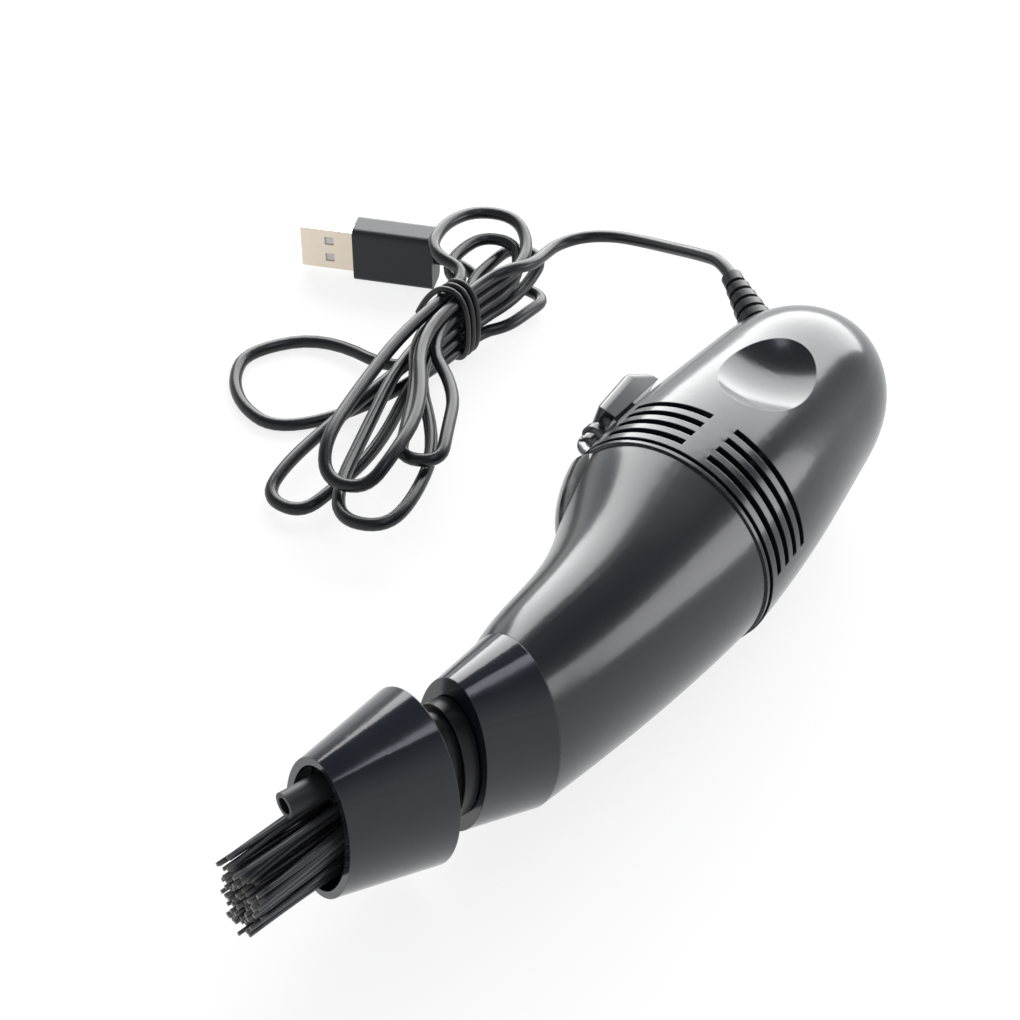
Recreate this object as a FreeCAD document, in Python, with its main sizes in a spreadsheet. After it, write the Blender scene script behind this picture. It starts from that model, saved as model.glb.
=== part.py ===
"""Hand-held desktop vacuum cleaner with a brush head, lying on its side with its lead tied in a hank.

The pieces are laid out about the body axis: the seam between the rear housing and the front shell
is at Y = 0, the nozzle points to -Y, the rear dome to +Y, and the switch is on the -X side.
They are then rolled a little, as the cleaner lies, and set down on Z = 0.
"""
import FreeCAD, Part
import math
import os
import re
import Sketcher

V = FreeCAD.Vector
UP = V(0, 0, 1)
BACK = V(0, 1, 0)

os.makedirs("parts", exist_ok=True)
doc = FreeCAD.newDocument("DesktopVacuum")
sheet = doc.addObject("Spreadsheet::Sheet", "Sizes")

# Driving sizes, in millimetres and degrees
SIZES = {
    # General
    "overrun": 3.0,
    "seat_gap": 0.2,
    "run_clearance": 0.05,
    "slide_clearance": 0.35,
    "body_roll": 8.0,
    "control_angle": 8.0,
    "wall": 1.9,
    # Rear housing
    "body_radius": 26.1,
    "housing_length": 81.8,
    "rear_turn": 3.7,
    "vent_count": 4,
    "vent_start": 1.8,
    "vent_pitch": 3.55,
    "vent_width": 1.75,
    "vent_strip_angle": 6.6,
    "vent_end_angle": 76.0,
    "vent_end_lamp_angle": 52.0,
    "dimple_reach": 38.6,
    "dimple_radius": 30.5,
    "dimple_depth": 3.7,
    "cradle_width": 18.0,
    "cradle_thick": 2.0,
    "cradle_first": 24.0,
    "cradle_second": 38.0,
    "stop_width": 4.4,
    "stop_depth": 3.4,
    # Screws that join the two housing halves
    "boss_radius": 3.2,
    "boss_a_side": 18.2,
    "boss_a_back": 24.5,
    "boss_b_side": 8.5,
    "boss_b_back": 60.0,
    "boss_c_side": -17.6,
    "boss_c_back": 51.5,
    "screw_radius": 1.15,
    "screw_head_radius": 2.3,
    "screw_head_thick": 1.6,
    "screw_length": 12.0,
    "screw_recess": 7.0,
    "screw_slot_wide": 0.7,
    # Motor, its plate and the fan
    "plate_back": 15.2,
    "plate_thick": 2.0,
    "plate_radius": 22.4,
    "plate_hole_ring": 16.6,
    "plate_hole_radius": 2.9,
    "plate_hole_count": 8,
    "motor_radius": 12.0,
    "motor_length": 29.0,
    "motor_wall": 1.0,
    "end_cap_length": 2.4,
    "end_cap_radius": 11.6,
    "end_cap_depth": 2.0,
    "bearing_radius": 3.2,
    "bearing_length": 1.8,
    "shaft_radius": 1.0,
    "shaft_tail": 1.2,
    "magnet_length": 20.0,
    "magnet_thick": 1.8,
    "magnet_angle": 130.0,
    "armature_radius": 8.2,
    "armature_length": 17.0,
    "motor_screw_side": 7.2,
    "motor_screw_radius": 1.0,
    "motor_screw_head_radius": 1.9,
    "motor_screw_head_thick": 1.2,
    "terminal_side": 6.4,
    "terminal_wide": 2.4,
    "terminal_thick": 0.5,
    "terminal_length": 4.0,
    "fan_radius": 20.5,
    "fan_back": 13.0,
    "fan_disc": 1.2,
    "fan_blade_height": 6.4,
    "fan_blade_thick": 1.0,
    "fan_blade_sweep": 7.0,
    "fan_blade_count": 8,
    "fan_eye": 7.5,
    "fan_hub_radius": 3.4,
    # Inlet plate, filter frame and filter cloth
    "inlet_thick": 1.8,
    "inlet_setback": 0.3,
    "inlet_eye": 13.0,
    "spigot_radius": 21.4,
    "spigot_length": 4.2,
    "spigot_wall": 1.8,
    "filter_frame_wall": 2.6,
    "filter_frame_length": 5.4,
    "filter_bar": 1.6,
    "filter_inset": 1.0,
    "filter_reach": 9.0,
    "filter_thick": 0.8,
    # Front shell
    "collar_radius": 25.4,
    "collar_lip": 0.45,
    "collar_lip_length": 0.9,
    "seam_gap": 0.8,
    "socket_length": 3.6,
    "nose_side": 4.2,
    "nose_reach": 62.5,
    "nose_turn": 15.2,
    "nose_half_width": 15.0,
    "nose_half_height": 23.0,
    # Nozzle ring, neck and brush head, measured along the nozzle's own axis
    "ring_length": 14.9,
    "ring_front_half_width": 11.0,
    "ring_front_half_height": 21.3,
    "ring_lip": 3.0,
    "ring_face": 2.2,
    "neck_radius": 7.8,
    "neck_bore": 5.9,
    "neck_catch": 0.9,
    "neck_catch_thick": 1.6,
    "neck_gap": 0.35,
    "neck_collar_half_width": 9.2,
    "neck_collar_half_height": 16.2,
    "neck_collar_length": 3.4,
    "neck_step": 1.3,
    "neck_step_length": 5.5,
    "neck_plug_radius": 7.0,
    "neck_plug_length": 9.0,
    "head_length": 21.8,
    "head_rear_half_width": 15.4,
    "head_rear_half_height": 22.9,
    "head_front_half_width": 10.4,
    "head_front_half_height": 19.2,
    "head_wall": 1.7,
    "head_back": 2.0,
    "head_ledge": 1.2,
    "head_socket_wall": 1.4,
    "brush_recess": 5.4,
    "brush_plate_thick": 2.4,
    "tube_radius": 2.7,
    "tube_bore": 1.7,
    "tube_up": 10.9,
    "tube_side": 1.6,
    "tube_ahead": 7.0,
    "tube_behind": 2.0,
    "bristle_radius": 0.5,
    "bristle_tip_radius": 0.28,
    "bristle_length": 25.5,
    "bristle_spacing": 0.6,
    "tuft_hole_radius": 1.75,
    "tuft_hole_depth": 1.6,
    # Switch
    "knob_front": 14.0,
    "knob_length": 17.0,
    "knob_wide": 12.6,
    "knob_reach": 31.9,
    "knob_rise": 1.4,
    "knob_rear_drop": 1.7,
    "knob_round": 2.4,
    "knob_underside": 27.5,
    "knob_travel": 3.5,
    "stem_long": 5.0,
    "stem_wide": 3.0,
    "stem_inner": 20.6,
    "foot_wide": 5.4,
    "foot_thick": 1.0,
    "foot_outer": 23.9,
    "lever_wide": 1.6,
    "lever_long": 2.0,
    "lever_overlap": 1.2,
    "lever_depth": 0.9,
    "board_side": 15.4,
    "board_thick": 1.2,
    "board_wide": 13.0,
    "board_long": 21.0,
    "board_back": 17.7,
    "board_grip": 0.8,
    "board_fin_thick": 4.0,
    "board_fin_long": 9.0,
    "board_fin_back": 28.5,
    "switch_depth": 3.6,
    "switch_wide": 4.6,
    "switch_long": 9.4,
    "switch_slot_depth": 1.2,
    "resistor_radius": 0.9,
    "resistor_length": 3.6,
    "resistor_lead": 0.3,
    "resistor_reach": 1.1,
    "resistor_back": 33.0,
    # Lamp and the clear window in front of it
    "lamp_radius": 2.5,
    "lamp_side": 28.2,
    "lamp_front": 5.8,
    "lamp_length": 7.5,
    "lamp_flange": 0.4,
    "lamp_flange_thick": 1.0,
    "lamp_holder_wall": 0.9,
    "lamp_holder_length": 1.6,
    "lamp_lead_radius": 0.25,
    "lamp_lead_apart": 2.54,
    "lamp_lead_inner": 22.9,
    "window_middle": 2.7,
    "window_side": 19.3,
    "window_half_length": 16.4,
    "window_half_depth": 6.8,
    "window_half_height": 10.6,
    "window_turn": 22.8,
    "window_groove": 0.8,
    "window_seat": 1.0,
    "window_end_gap": 1.0,
    # Strain relief
    "relief_side": 10.8,
    "relief_back": 64.0,
    "relief_turn": 36.0,
    "relief_base_radius": 4.6,
    "relief_tip_radius": 2.6,
    "relief_length": 21.0,
    "relief_neck_radius": 3.4,
    "relief_seat": 1.0,
    "relief_flange": 1.5,
    "relief_flange_radius": 4.6,
    "relief_ribs": 5,
    "relief_rib_gap": 1.4,
    "relief_groove": 1.0,
    "relief_tip_length": 3.0,
    # Wires inside
    "supply_wire_radius": 0.55,
    "supply_wire_apart": 2.0,
    "motor_wire_radius": 0.5,
    # Lead, its hank and the wire tie round it
    "lead_radius": 1.6,
    "lead_exit_run": 6.0,
    "lead_end_run": 6.5,
    "tail_start_run": 4.4,
    "tail_end_run": 4.8,
    "hank_x": -97.0,
    "hank_y": 50.6,
    "hank_low": 4.2,
    "hank_gap": 0.45,
    "hank_pass": 7.0,
    "hank_length": 77.1,
    "hank_fan": 36.0,
    "tie_radius": 0.8,
    "tie_gap": 0.85,
    "tie_pitch": 2.1,
    "tie_end": 4.6,
    # Plug
    "overmold_high": 15.8,
    "overmold_thick": 8.2,
    "overmold_long": 21.5,
    "overmold_round": 1.6,
    "plug_front_x": -140.5,
    "plug_front_y": 64.5,
    "plug_turn": 23.7,
    "plug_shell_high": 12.0,
    "plug_shell_thick": 4.5,
    "plug_shell_shown": 14.6,
    "plug_shell_hidden": 4.0,
    "plug_shell_wall": 0.35,
    "plug_hole": 2.4,
    "plug_hole_share": 0.47,
    "plug_hole_apart": 5.2,
    "plug_tongue_thick": 1.8,
    "plug_tongue_setback": 1.2,
    "plug_contact_wide": 1.1,
    "plug_contact_thick": 0.25,
    "plug_contact_long": 8.0,
}
for row, (name, size) in enumerate(SIZES.items(), start=1):
    sheet.set("A%d" % row, str(size))
    sheet.setAlias("A%d" % row, name)
doc.recompute()


def size(text):
    """Value of a size, or of a sum of sizes, read from the sheet."""
    found = sheet.evalExpression(linked(text))
    return float(getattr(found, "Value", found))


def linked(text):
    """The same sum with every size's name pointing at the sheet."""
    return re.sub(r"\b([a-z][a-z0-9_]*)\b(?!\()", r"Sizes.\1", text)


def bind(thing, **sums):
    """Tie properties of a document object to sums of sizes."""
    for prop, text in sums.items():
        thing.setExpression(prop, linked(text))
    return thing


# Sketches and bodies


def plane_of(body, role):
    return [part for part in body.Origin.OriginFeatures if part.Role == role][0]


def sketch_on(body, name, role, lift="0 * wall"):
    """An empty sketch on one of the body's own origin planes, lifted off it by a sum of sizes."""
    sketch = body.newObject("Sketcher::SketchObject", name)
    sketch.AttachmentSupport = [(plane_of(body, role), "")]
    sketch.MapMode = "FlatFace"
    sketch.setExpression("AttachmentOffset.Base.z", linked(lift))
    return sketch


def outline(sketch, corners):
    """Closed straight-sided outline, each corner's two coordinates given as sums of sizes."""
    spots = [V(size(across), size(along), 0) for across, along in corners]
    count = len(corners)
    first = len(sketch.Geometry)
    for index in range(count):
        sketch.addGeometry(Part.LineSegment(spots[index], spots[(index + 1) % count]), False)
    for index, corner in enumerate(corners):
        after = first + (index + 1) % count
        sketch.addConstraint(Sketcher.Constraint("Coincident", first + index, 2, after, 1))
        for direction, text, value in (("DistanceX", corner[0], spots[index].x),
                                       ("DistanceY", corner[1], spots[index].y)):
            number = sketch.addConstraint(Sketcher.Constraint(direction, first + index, 1, value))
            sketch.setExpression("Constraints[%d]" % number, linked(text))
    return sketch


def circle(sketch, radius, across="0 * wall", along="0 * wall"):
    """A circle whose radius and centre are sums of sizes."""
    middle = V(size(across), size(along), 0)
    index = sketch.addGeometry(Part.Circle(middle, V(0, 0, 1), size(radius)), False)
    number = sketch.addConstraint(Sketcher.Constraint("Radius", index, size(radius)))
    sketch.setExpression("Constraints[%d]" % number, linked(radius))
    for direction, text, value in (("DistanceX", across, middle.x), ("DistanceY", along, middle.y)):
        number = sketch.addConstraint(Sketcher.Constraint(direction, index, 3, value))
        sketch.setExpression("Constraints[%d]" % number, linked(text))
    return sketch


def turned(label, corners, role="XY_Plane"):
    """A body turned about its sketch's upright axis."""
    body = doc.addObject("PartDesign::Body", label)
    sketch = outline(sketch_on(body, label + "_outline", role), corners)
    turn = body.newObject("PartDesign::Revolution", label + "_turn")
    turn.Profile = sketch
    turn.ReferenceAxis = (sketch, ["V_Axis"])
    turn.Angle = 360
    return body


def padded(body, name, sketch, length, midplane=False, reverse=False):
    pad = body.newObject("PartDesign::Pad", name)
    pad.Profile = sketch
    pad.setExpression("Length", linked(length))
    pad.Midplane = midplane
    pad.Reversed = reverse
    return pad


def pocketed(body, name, sketch, length=None, midplane=False, reverse=False):
    """Cut the sketch out of the body, to a depth or right through, and check that it removed something."""
    doc.recompute()
    before = body.Shape.Volume
    pocket = body.newObject("PartDesign::Pocket", name)
    pocket.Profile = sketch
    pocket.Midplane = midplane
    pocket.Reversed = reverse
    if length is None:
        pocket.Type = "ThroughAll"
    else:
        pocket.setExpression("Length", linked(length))
    doc.recompute()
    if not body.Shape.Volume < before:
        raise RuntimeError(name + " removed nothing")
    return pocket


def primitive(kind, label, place=None, **sums):
    thing = bind(doc.addObject("Part::" + kind, label), **sums)
    if place is not None:
        thing.Placement = place
    return thing


def joined(kind, label, first, second):
    thing = doc.addObject("Part::" + kind, label)
    thing.Base = first
    thing.Tool = second
    return thing


def shaped(label, shape):
    thing = doc.addObject("Part::Feature", label)
    thing.Shape = shape
    return thing


# Frames that groups of pieces are laid out in


def axes_place(middle, across, upright, along):
    """Placement whose own X, Y and Z axes point across, upright and along."""
    return FreeCAD.Placement(middle, FreeCAD.Rotation(across, upright, along, "ZXY"))


nose_angle = math.radians(size("nose_turn"))
nozzle_way = V(-math.sin(nose_angle), -math.cos(nose_angle), 0)
nozzle_place = axes_place(V(size("nose_side"), -size("nose_reach"), 0), UP, nozzle_way.cross(UP), nozzle_way)
control_place = FreeCAD.Placement(V(), FreeCAD.Rotation(BACK, size("control_angle")))
rear_place = FreeCAD.Placement(V(), FreeCAD.Rotation(UP, size("rear_turn")))


def moved(shape, place):
    copy = shape.copy()
    copy.Placement = place.multiply(copy.Placement)
    return copy


def along_y(reach, turn=0.0):
    """Placement at a distance along the body axis, with its own Z axis pointing back along it."""
    across = FreeCAD.Rotation(BACK, turn).multVec(V(1, 0, 0))
    return axes_place(V(0, reach, 0), across, BACK.cross(across), BACK)


def along_nozzle(reach, side=0.0, up=0.0):
    """Placement at a distance along the nozzle's axis, its own X axis up and its Z axis forward."""
    return nozzle_place.multiply(FreeCAD.Placement(V(up, side, reach), FreeCAD.Rotation()))


def at(place, *spot):
    return place.multiply(FreeCAD.Placement(V(*spot), FreeCAD.Rotation()))


# Short ways to make and combine document objects


def cylinder(label, place, radius, length, angle=None):
    thing = primitive("Cylinder", label, place, Radius=radius, Height=length)
    if angle is not None:
        bind(thing, Angle=angle)
    return thing


def block(label, place, corner, across, upright, along):
    """A box whose nearest corner lies at sums of sizes in the given frame."""
    place = at(place, *[size(text) for text in corner])
    return primitive("Box", label, place, Length=across, Width=upright, Height=along)


def group(label, things):
    if len(things) == 1:
        return things[0]
    thing = doc.addObject("Part::MultiFuse", label)
    thing.Shapes = things
    return thing


def common(label, first, second):
    return joined("Common", label, first, second)


def cut(label, base, *tools):
    return joined("Cut", label, base, group(label + "_cutters", list(tools)))


def oval(label, place, half_width, half_height):
    return primitive("Ellipse", label, place, MajorRadius=half_height, MinorRadius=half_width)


def loft(label, sections, ruled=False):
    thing = doc.addObject("Part::Loft", label)
    thing.Sections = sections
    thing.Solid = True
    thing.Ruled = ruled
    return thing


def oval_cone(label, near, far, near_sizes, far_sizes):
    """Straight-sided oval piece between two reaches along the nozzle's axis."""
    ends = [oval(label + "_near", along_nozzle(size(near)), *near_sizes),
            oval(label + "_far", along_nozzle(size(far)), *far_sizes)]
    return loft(label, ends, ruled=True)


# Nodes: what is kept, by its label, and which of them lie loose on the floor with the lead

nodes = {}
loose = []


def node(thing, label=None, lying=False):
    thing.Label = label or thing.Label
    nodes[thing.Label] = thing
    if lying:
        loose.append(thing.Label)
    return thing


# Rear housing

housing_profile_shares = ((0.306, 0.966), (0.611, 0.868), (0.795, 0.762), (0.917, 0.533), (0.968, 0.345))


def housing_form(label, inset):
    """Solid of the housing's outer form, or of its inside when it is taken in by the wall."""
    radius = size("body_radius") - inset
    length = size("housing_length") - inset
    spots = [V(radius, 0, 0)] + [V(radius * out, length * back, 0) for back, out in housing_profile_shares]
    spots.append(V(0, length, 0))
    curve = Part.BSplineCurve()
    curve.interpolate(Points=spots, InitialTangent=V(0, 1, 0), FinalTangent=V(-1, 0, 0))
    start = V(radius, -size("overrun"), 0)
    foot = V(0, -size("overrun"), 0)
    wire = Part.Wire([Part.LineSegment(start, spots[0]).toShape(), curve.toShape(),
                      Part.LineSegment(spots[-1], foot).toShape(), Part.LineSegment(foot, start).toShape()])
    form = Part.Face(wire).revolve(V(), V(0, 1, 0), 360)
    thing = shaped(label, form)
    thing.Placement = rear_place
    return thing


def half_space(label, upper):
    """Block that holds one half of the housing, behind the seam."""
    reach = "2 * body_radius"
    low = "0 * wall" if upper else "-2 * body_radius"
    return block(label, FreeCAD.Placement(), ("-2 * body_radius", "0 * wall", low),
                 "4 * body_radius", "housing_length + body_radius", reach)


def vent_cutters():
    """One slot cutter for each vent, in four groups with a strip between them."""
    cutters = []
    left, right = -size("vent_end_lamp_angle"), size("vent_strip_angle")
    mirrored = size("vent_end_angle")
    groups = (("left", left, "vent_end_lamp_angle - vent_strip_angle"),
              ("right", right, "vent_end_angle - vent_strip_angle"),
              ("low_right", 180 - mirrored, "vent_end_angle - vent_strip_angle"),
              ("low_left", 180 + right, "vent_end_lamp_angle - vent_strip_angle"))
    for name, start, sweep in groups:
        for index in range(int(size("vent_count"))):
            reach = size("vent_start") + index * size("vent_pitch")
            place = along_y(reach, start - 90)
            cutters.append(cylinder("vent_%s_%d" % (name, index + 1), place,
                                    "body_radius + overrun", "vent_width", sweep))
    return cutters


def dimple_ball(label, up, extra):
    """Sphere whose near side is the thumb dimple's floor, on top or underneath."""
    surface = size("body_radius") * (1 - (1 - housing_profile_shares[1][1])
                                     * (size("dimple_reach") / (housing_profile_shares[1][0]
                                                                * size("housing_length"))) ** 2)
    middle = V(0, size("dimple_reach"), up * (surface - size("dimple_depth") + size("dimple_radius")))
    return primitive("Sphere", label, at(rear_place, *middle), Radius="dimple_radius" + extra)


bosses = [("boss_a", "boss_a_side", "boss_a_back"), ("boss_b", "boss_b_side", "boss_b_back"),
          ("boss_c", "boss_c_side", "boss_c_back")]


def upright(label, side, back, low, radius, length):
    return cylinder(label, FreeCAD.Placement(V(size(side), size(back), size(low)), FreeCAD.Rotation()),
                    radius, length)


def relief_point():
    """Where the strain relief's axis leaves the housing, and the way that it points."""
    turn = math.radians(size("relief_turn"))
    way = V(-math.cos(turn), math.sin(turn), 0)
    start = V(-size("relief_side"), size("relief_back"), 0)
    line = Part.makeLine(start, start + way * (2 * size("body_radius")))
    inside = outer_form.Shape.common(line)
    far = max(inside.Vertexes, key=lambda vertex: (vertex.Point - start).Length)
    return far.Point, way


outer_form = housing_form("housing_outside", 0.0)
inner_form = housing_form("housing_inside", size("wall"))
relief_exit, relief_way = relief_point()
relief_place = axes_place(relief_exit, UP, relief_way, UP.cross(relief_way))

dimples = [dimple_ball("dimple_top", 1, ""), dimple_ball("dimple_under", -1, "")]
backings = [dimple_ball("dimple_top_back", 1, " + wall"), dimple_ball("dimple_under_back", -1, " + wall")]
outer_skin = cut("housing_skin", outer_form, *dimples)
inner_room = cut("housing_room", inner_form, *backings)

knob_middle = "knob_front + knob_length / 2"
stem_front = "(%s - stem_long / 2)" % knob_middle
fin_start = "board_wide / 2 - board_grip"


def cradle(label, back, thick, width, upper):
    low = "0 * wall" if upper else "-body_radius"
    return block(label, FreeCAD.Placement(), ("-%s / 2" % width, back, low), width, thick, "body_radius")


def housing_half(label, upper):
    """One half of the rear housing: its wall, what it carries inside and what is cut from it."""
    name = "upper" if upper else "lower"
    rise = 1 if upper else -1
    inside = [cradle(name + "_cradle_1", "cradle_first", "cradle_thick", "cradle_width", upper),
              cradle(name + "_cradle_2", "cradle_second", "cradle_thick", "cradle_width", upper)]
    motor_room = cylinder(name + "_motor_room", along_y(0), "motor_radius + seat_gap", "housing_length")
    cradles = cut(name + "_cradles", group(name + "_cradle_pair", inside), motor_room)
    stop = block(name + "_stop", FreeCAD.Placement(),
                 ("-stop_width / 2", "inlet_setback + inlet_thick + seat_gap",
                  "body_radius - wall - stop_depth" if upper else "-body_radius"),
                 "stop_width", "cradle_thick", "wall + stop_depth")
    plate_stop = cradle(name + "_plate_stop", "plate_back + plate_thick + seat_gap", "cradle_thick",
                        "cradle_width", upper)
    plate_room = cylinder(name + "_plate_room", along_y(0), "plate_radius - stop_depth", "housing_length")
    fin_low = fin_start if upper else "-body_radius"
    fin = block(name + "_board_fin", control_place,
                ("-board_side - (board_fin_thick - board_thick) / 2", "board_fin_back", fin_low),
                "board_fin_thick", "board_fin_long", "body_radius - %s" % fin_start)
    posts = [upright(name + "_" + boss, side, back, "0 * wall" if upper else "-body_radius",
                     "boss_radius", "body_radius") for boss, side, back in bosses]
    carried = [cradles, stop, cut(name + "_plate_stop_open", plate_stop, plate_room), fin] + posts
    held = common(name + "_held", group(name + "_carried", carried), outer_skin)
    walls = cut(name + "_walls", outer_skin, inner_room)
    whole = group(name + "_whole", [walls, held])
    half = common(name + "_half", whole, half_space(name + "_space", upper))
    if upper:
        holder = cylinder("lamp_holder", at(control_place, *[-size("lamp_side"), size("lamp_front + "
                          "lamp_length - lamp_flange_thick - lamp_holder_length"), 0]).multiply(along_y(0)),
                          "lamp_radius + lamp_holder_wall", "lamp_holder_length")
        kept = cut("lamp_holder_outside", holder, housing_form("holder_room", size("wall") / 2))
        half = group("upper_with_holder", [half, kept])
    return cut(label, half, *half_cutters(name, upper))


def lamp_frame(reach):
    return at(control_place, -size("lamp_side"), reach, 0).multiply(along_y(0))


def half_cutters(name, upper):
    """Everything cut from one half: vents, cord exit, screw holes, switch slot and lamp seat."""
    cutters = [cylinder(name + "_relief_hole", at(relief_place, 0, -size("body_radius"), 0).multiply(
        FreeCAD.Placement(V(), FreeCAD.Rotation(V(1, 0, 0), -90))), "relief_neck_radius + seat_gap",
        "2 * body_radius"),
        block(name + "_board_room", control_place,
              ("-board_side - seat_gap", "board_back - seat_gap", "-board_wide / 2 - seat_gap"),
              "board_thick + 2 * seat_gap", "board_long + 2 * seat_gap", "board_wide + 2 * seat_gap")]
    cutters += vent_cutters_for(name, upper)
    for boss, side, back in bosses:
        cutters.append(upright(name + "_%s_hole" % boss, side, back,
                               "-screw_recess - seat_gap", "screw_radius + run_clearance",
                               "screw_length + 2 * seat_gap"))
        if not upper:
            cutters.append(upright(name + "_%s_recess" % boss, side, back, "-body_radius - overrun",
                                   "screw_head_radius + seat_gap",
                                   "body_radius + overrun - screw_recess"))
    if upper:
        cutters.append(block("stem_slot", control_place,
                             ("-body_radius - overrun", stem_front + " - slide_clearance",
                              "-stem_wide / 2 - slide_clearance"),
                             "2 * overrun + wall", "stem_long + knob_travel + 2 * slide_clearance",
                             "stem_wide + 2 * slide_clearance"))
        cutters.append(cylinder("lamp_room", lamp_frame(size("lamp_front - lamp_radius")),
                                "lamp_radius + run_clearance", "lamp_length + lamp_radius + overrun"))
        cutters.append(cylinder("lamp_flange_room",
                                lamp_frame(size("lamp_front + lamp_length - lamp_flange_thick")),
                                "lamp_radius + lamp_flange + run_clearance",
                                "lamp_flange_thick + run_clearance"))
        for sign in (-1, 1):
            place = at(control_place, -size("lamp_lead_inner") + size("overrun"), lamp_lead_back,
                       sign * size("lamp_lead_apart") / 2)
            cutters.append(cylinder("lamp_lead_hole_%d" % (sign + 2), place.multiply(
                FreeCAD.Placement(V(), FreeCAD.Rotation(BACK, -90))),
                "lamp_lead_radius + run_clearance", "2 * overrun + wall"))
    return cutters


def vent_cutters_for(name, upper):
    wanted = ("left", "right") if upper else ("low_right", "low_left")
    return [thing for thing in vents if thing.Label.split("_", 1)[1].rsplit("_", 1)[0] in wanted]


lamp_lead_back = size("lamp_front + lamp_length - lamp_flange_thick / 2")
vents = vent_cutters()
node(housing_half("rear_housing_upper", True))
node(housing_half("rear_housing_lower", False))


def screw(label, place, shank_radius, length, head_radius, head_thick):
    """Plain shank with a flat head; the shank points along the place's own Z axis."""
    shank = cylinder(label + "_shank", place, shank_radius, length)
    head = cylinder(label + "_head", at(place, 0, 0, -size(head_thick)), head_radius, head_thick)
    slot = block(label + "_slot", at(place, 0, 0, -size(head_thick)),
                 ("-2 * " + head_radius, "-screw_slot_wide / 2", "-screw_slot_wide / 2"),
                 "4 * " + head_radius, "screw_slot_wide", "screw_slot_wide")
    return cut(label, group(label + "_blank", [shank, head]), slot)


def apart(label, things):
    """Several separate solids kept as one node."""
    thing = doc.addObject("Part::Compound", label)
    thing.Links = things
    return thing


node(apart("housing_screws", [
    screw("housing_screw_%d" % (index + 1),
          FreeCAD.Placement(V(size(side), size(back), -size("screw_recess")), FreeCAD.Rotation()),
          "screw_radius", "screw_length", "screw_head_radius", "screw_head_thick")
    for index, (boss, side, back) in enumerate(bosses)]))

# Motor plate with its ring of air holes

motor_plate = turned("motor_plate", [
    ("bearing_radius + seat_gap", "plate_back"), ("plate_radius", "plate_back"),
    ("plate_radius", "plate_back + plate_thick"), ("bearing_radius + seat_gap", "plate_back + plate_thick")])
air_hole = circle(sketch_on(motor_plate, "air_hole", "XZ_Plane"), "plate_hole_radius",
                  "0 * wall", "plate_hole_ring")
air_cut = pocketed(motor_plate, "air_hole_cut", air_hole)
air_ring = motor_plate.newObject("PartDesign::PolarPattern", "air_holes")
air_ring.Originals = [air_cut]
air_ring.Axis = ([part for part in motor_plate.Origin.OriginFeatures if part.Role == "Y_Axis"][0], [""])
air_ring.Angle = 360
air_ring.setExpression("Occurrences", linked("plate_hole_count"))
motor_plate.Tip = air_ring
for side in (-1, 1):
    hole = circle(sketch_on(motor_plate, "plate_screw_hole_%d" % (side + 2), "XZ_Plane"),
                  "motor_screw_radius + run_clearance", "%d * motor_screw_side" % side)
    pocketed(motor_plate, "plate_screw_cut_%d" % (side + 2), hole)
node(motor_plate)

can_front = "plate_back + plate_thick"
can_back = "(%s + motor_length)" % can_front
bore = "shaft_radius + run_clearance"
motor_can = turned("motor_can", [
    (bore, can_front + " - bearing_length"), ("bearing_radius", can_front + " - bearing_length"),
    ("bearing_radius", can_front), ("motor_radius", can_front), ("motor_radius", can_back),
    ("motor_radius - motor_wall", can_back), ("motor_radius - motor_wall", can_front + " + motor_wall"),
    (bore, can_front + " + motor_wall")])
for side in (-1, 1):
    hole = circle(sketch_on(motor_can, "can_screw_hole_%d" % (side + 2), "XZ_Plane"),
                  "motor_screw_radius + run_clearance", "%d * motor_screw_side" % side)
    pocketed(motor_can, "can_screw_cut_%d" % (side + 2), hole)
node(motor_can)

motor_end_cap = turned("motor_end_cap", [
    (bore, can_back + " - end_cap_depth"),
    ("motor_radius - motor_wall - run_clearance", can_back + " - end_cap_depth"),
    ("motor_radius - motor_wall - run_clearance", can_back), ("end_cap_radius", can_back),
    ("end_cap_radius", can_back + " + end_cap_length"),
    ("bearing_radius", can_back + " + end_cap_length"),
    ("bearing_radius", can_back + " + end_cap_length + bearing_length"),
    (bore, can_back + " + end_cap_length + bearing_length")])
slots = sketch_on(motor_end_cap, "terminal_slots", "XZ_Plane")
for side in (-1, 1):
    reach = "%d * terminal_side" % side
    half_wide = "(terminal_wide / 2 + run_clearance)"
    half_thick = "(terminal_thick / 2 + run_clearance)"
    outline(slots, [(reach + " - " + half_wide, "-" + half_thick),
                    (reach + " + " + half_wide, "-" + half_thick),
                    (reach + " + " + half_wide, half_thick), (reach + " - " + half_wide, half_thick)])
pocketed(motor_end_cap, "terminal_slots_cut", slots)
node(motor_end_cap)

terminal_back = can_back + " + terminal_length"
node(apart("motor_terminals", [
    block("motor_terminal_%d" % (side + 2), FreeCAD.Placement(),
          ("%d * terminal_side - terminal_wide / 2" % side, can_back + " - end_cap_depth",
           "-terminal_thick / 2"),
          "terminal_wide", "end_cap_depth + terminal_length", "terminal_thick") for side in (-1, 1)]))

screw_start = size(can_front + " - plate_thick")
node(apart("motor_screws", [
    screw("motor_screw_%d" % (side + 2), at(along_y(screw_start), side * size("motor_screw_side"), 0, 0),
          "motor_screw_radius", "plate_thick + motor_wall", "motor_screw_head_radius",
          "motor_screw_head_thick") for side in (-1, 1)]))

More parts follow.
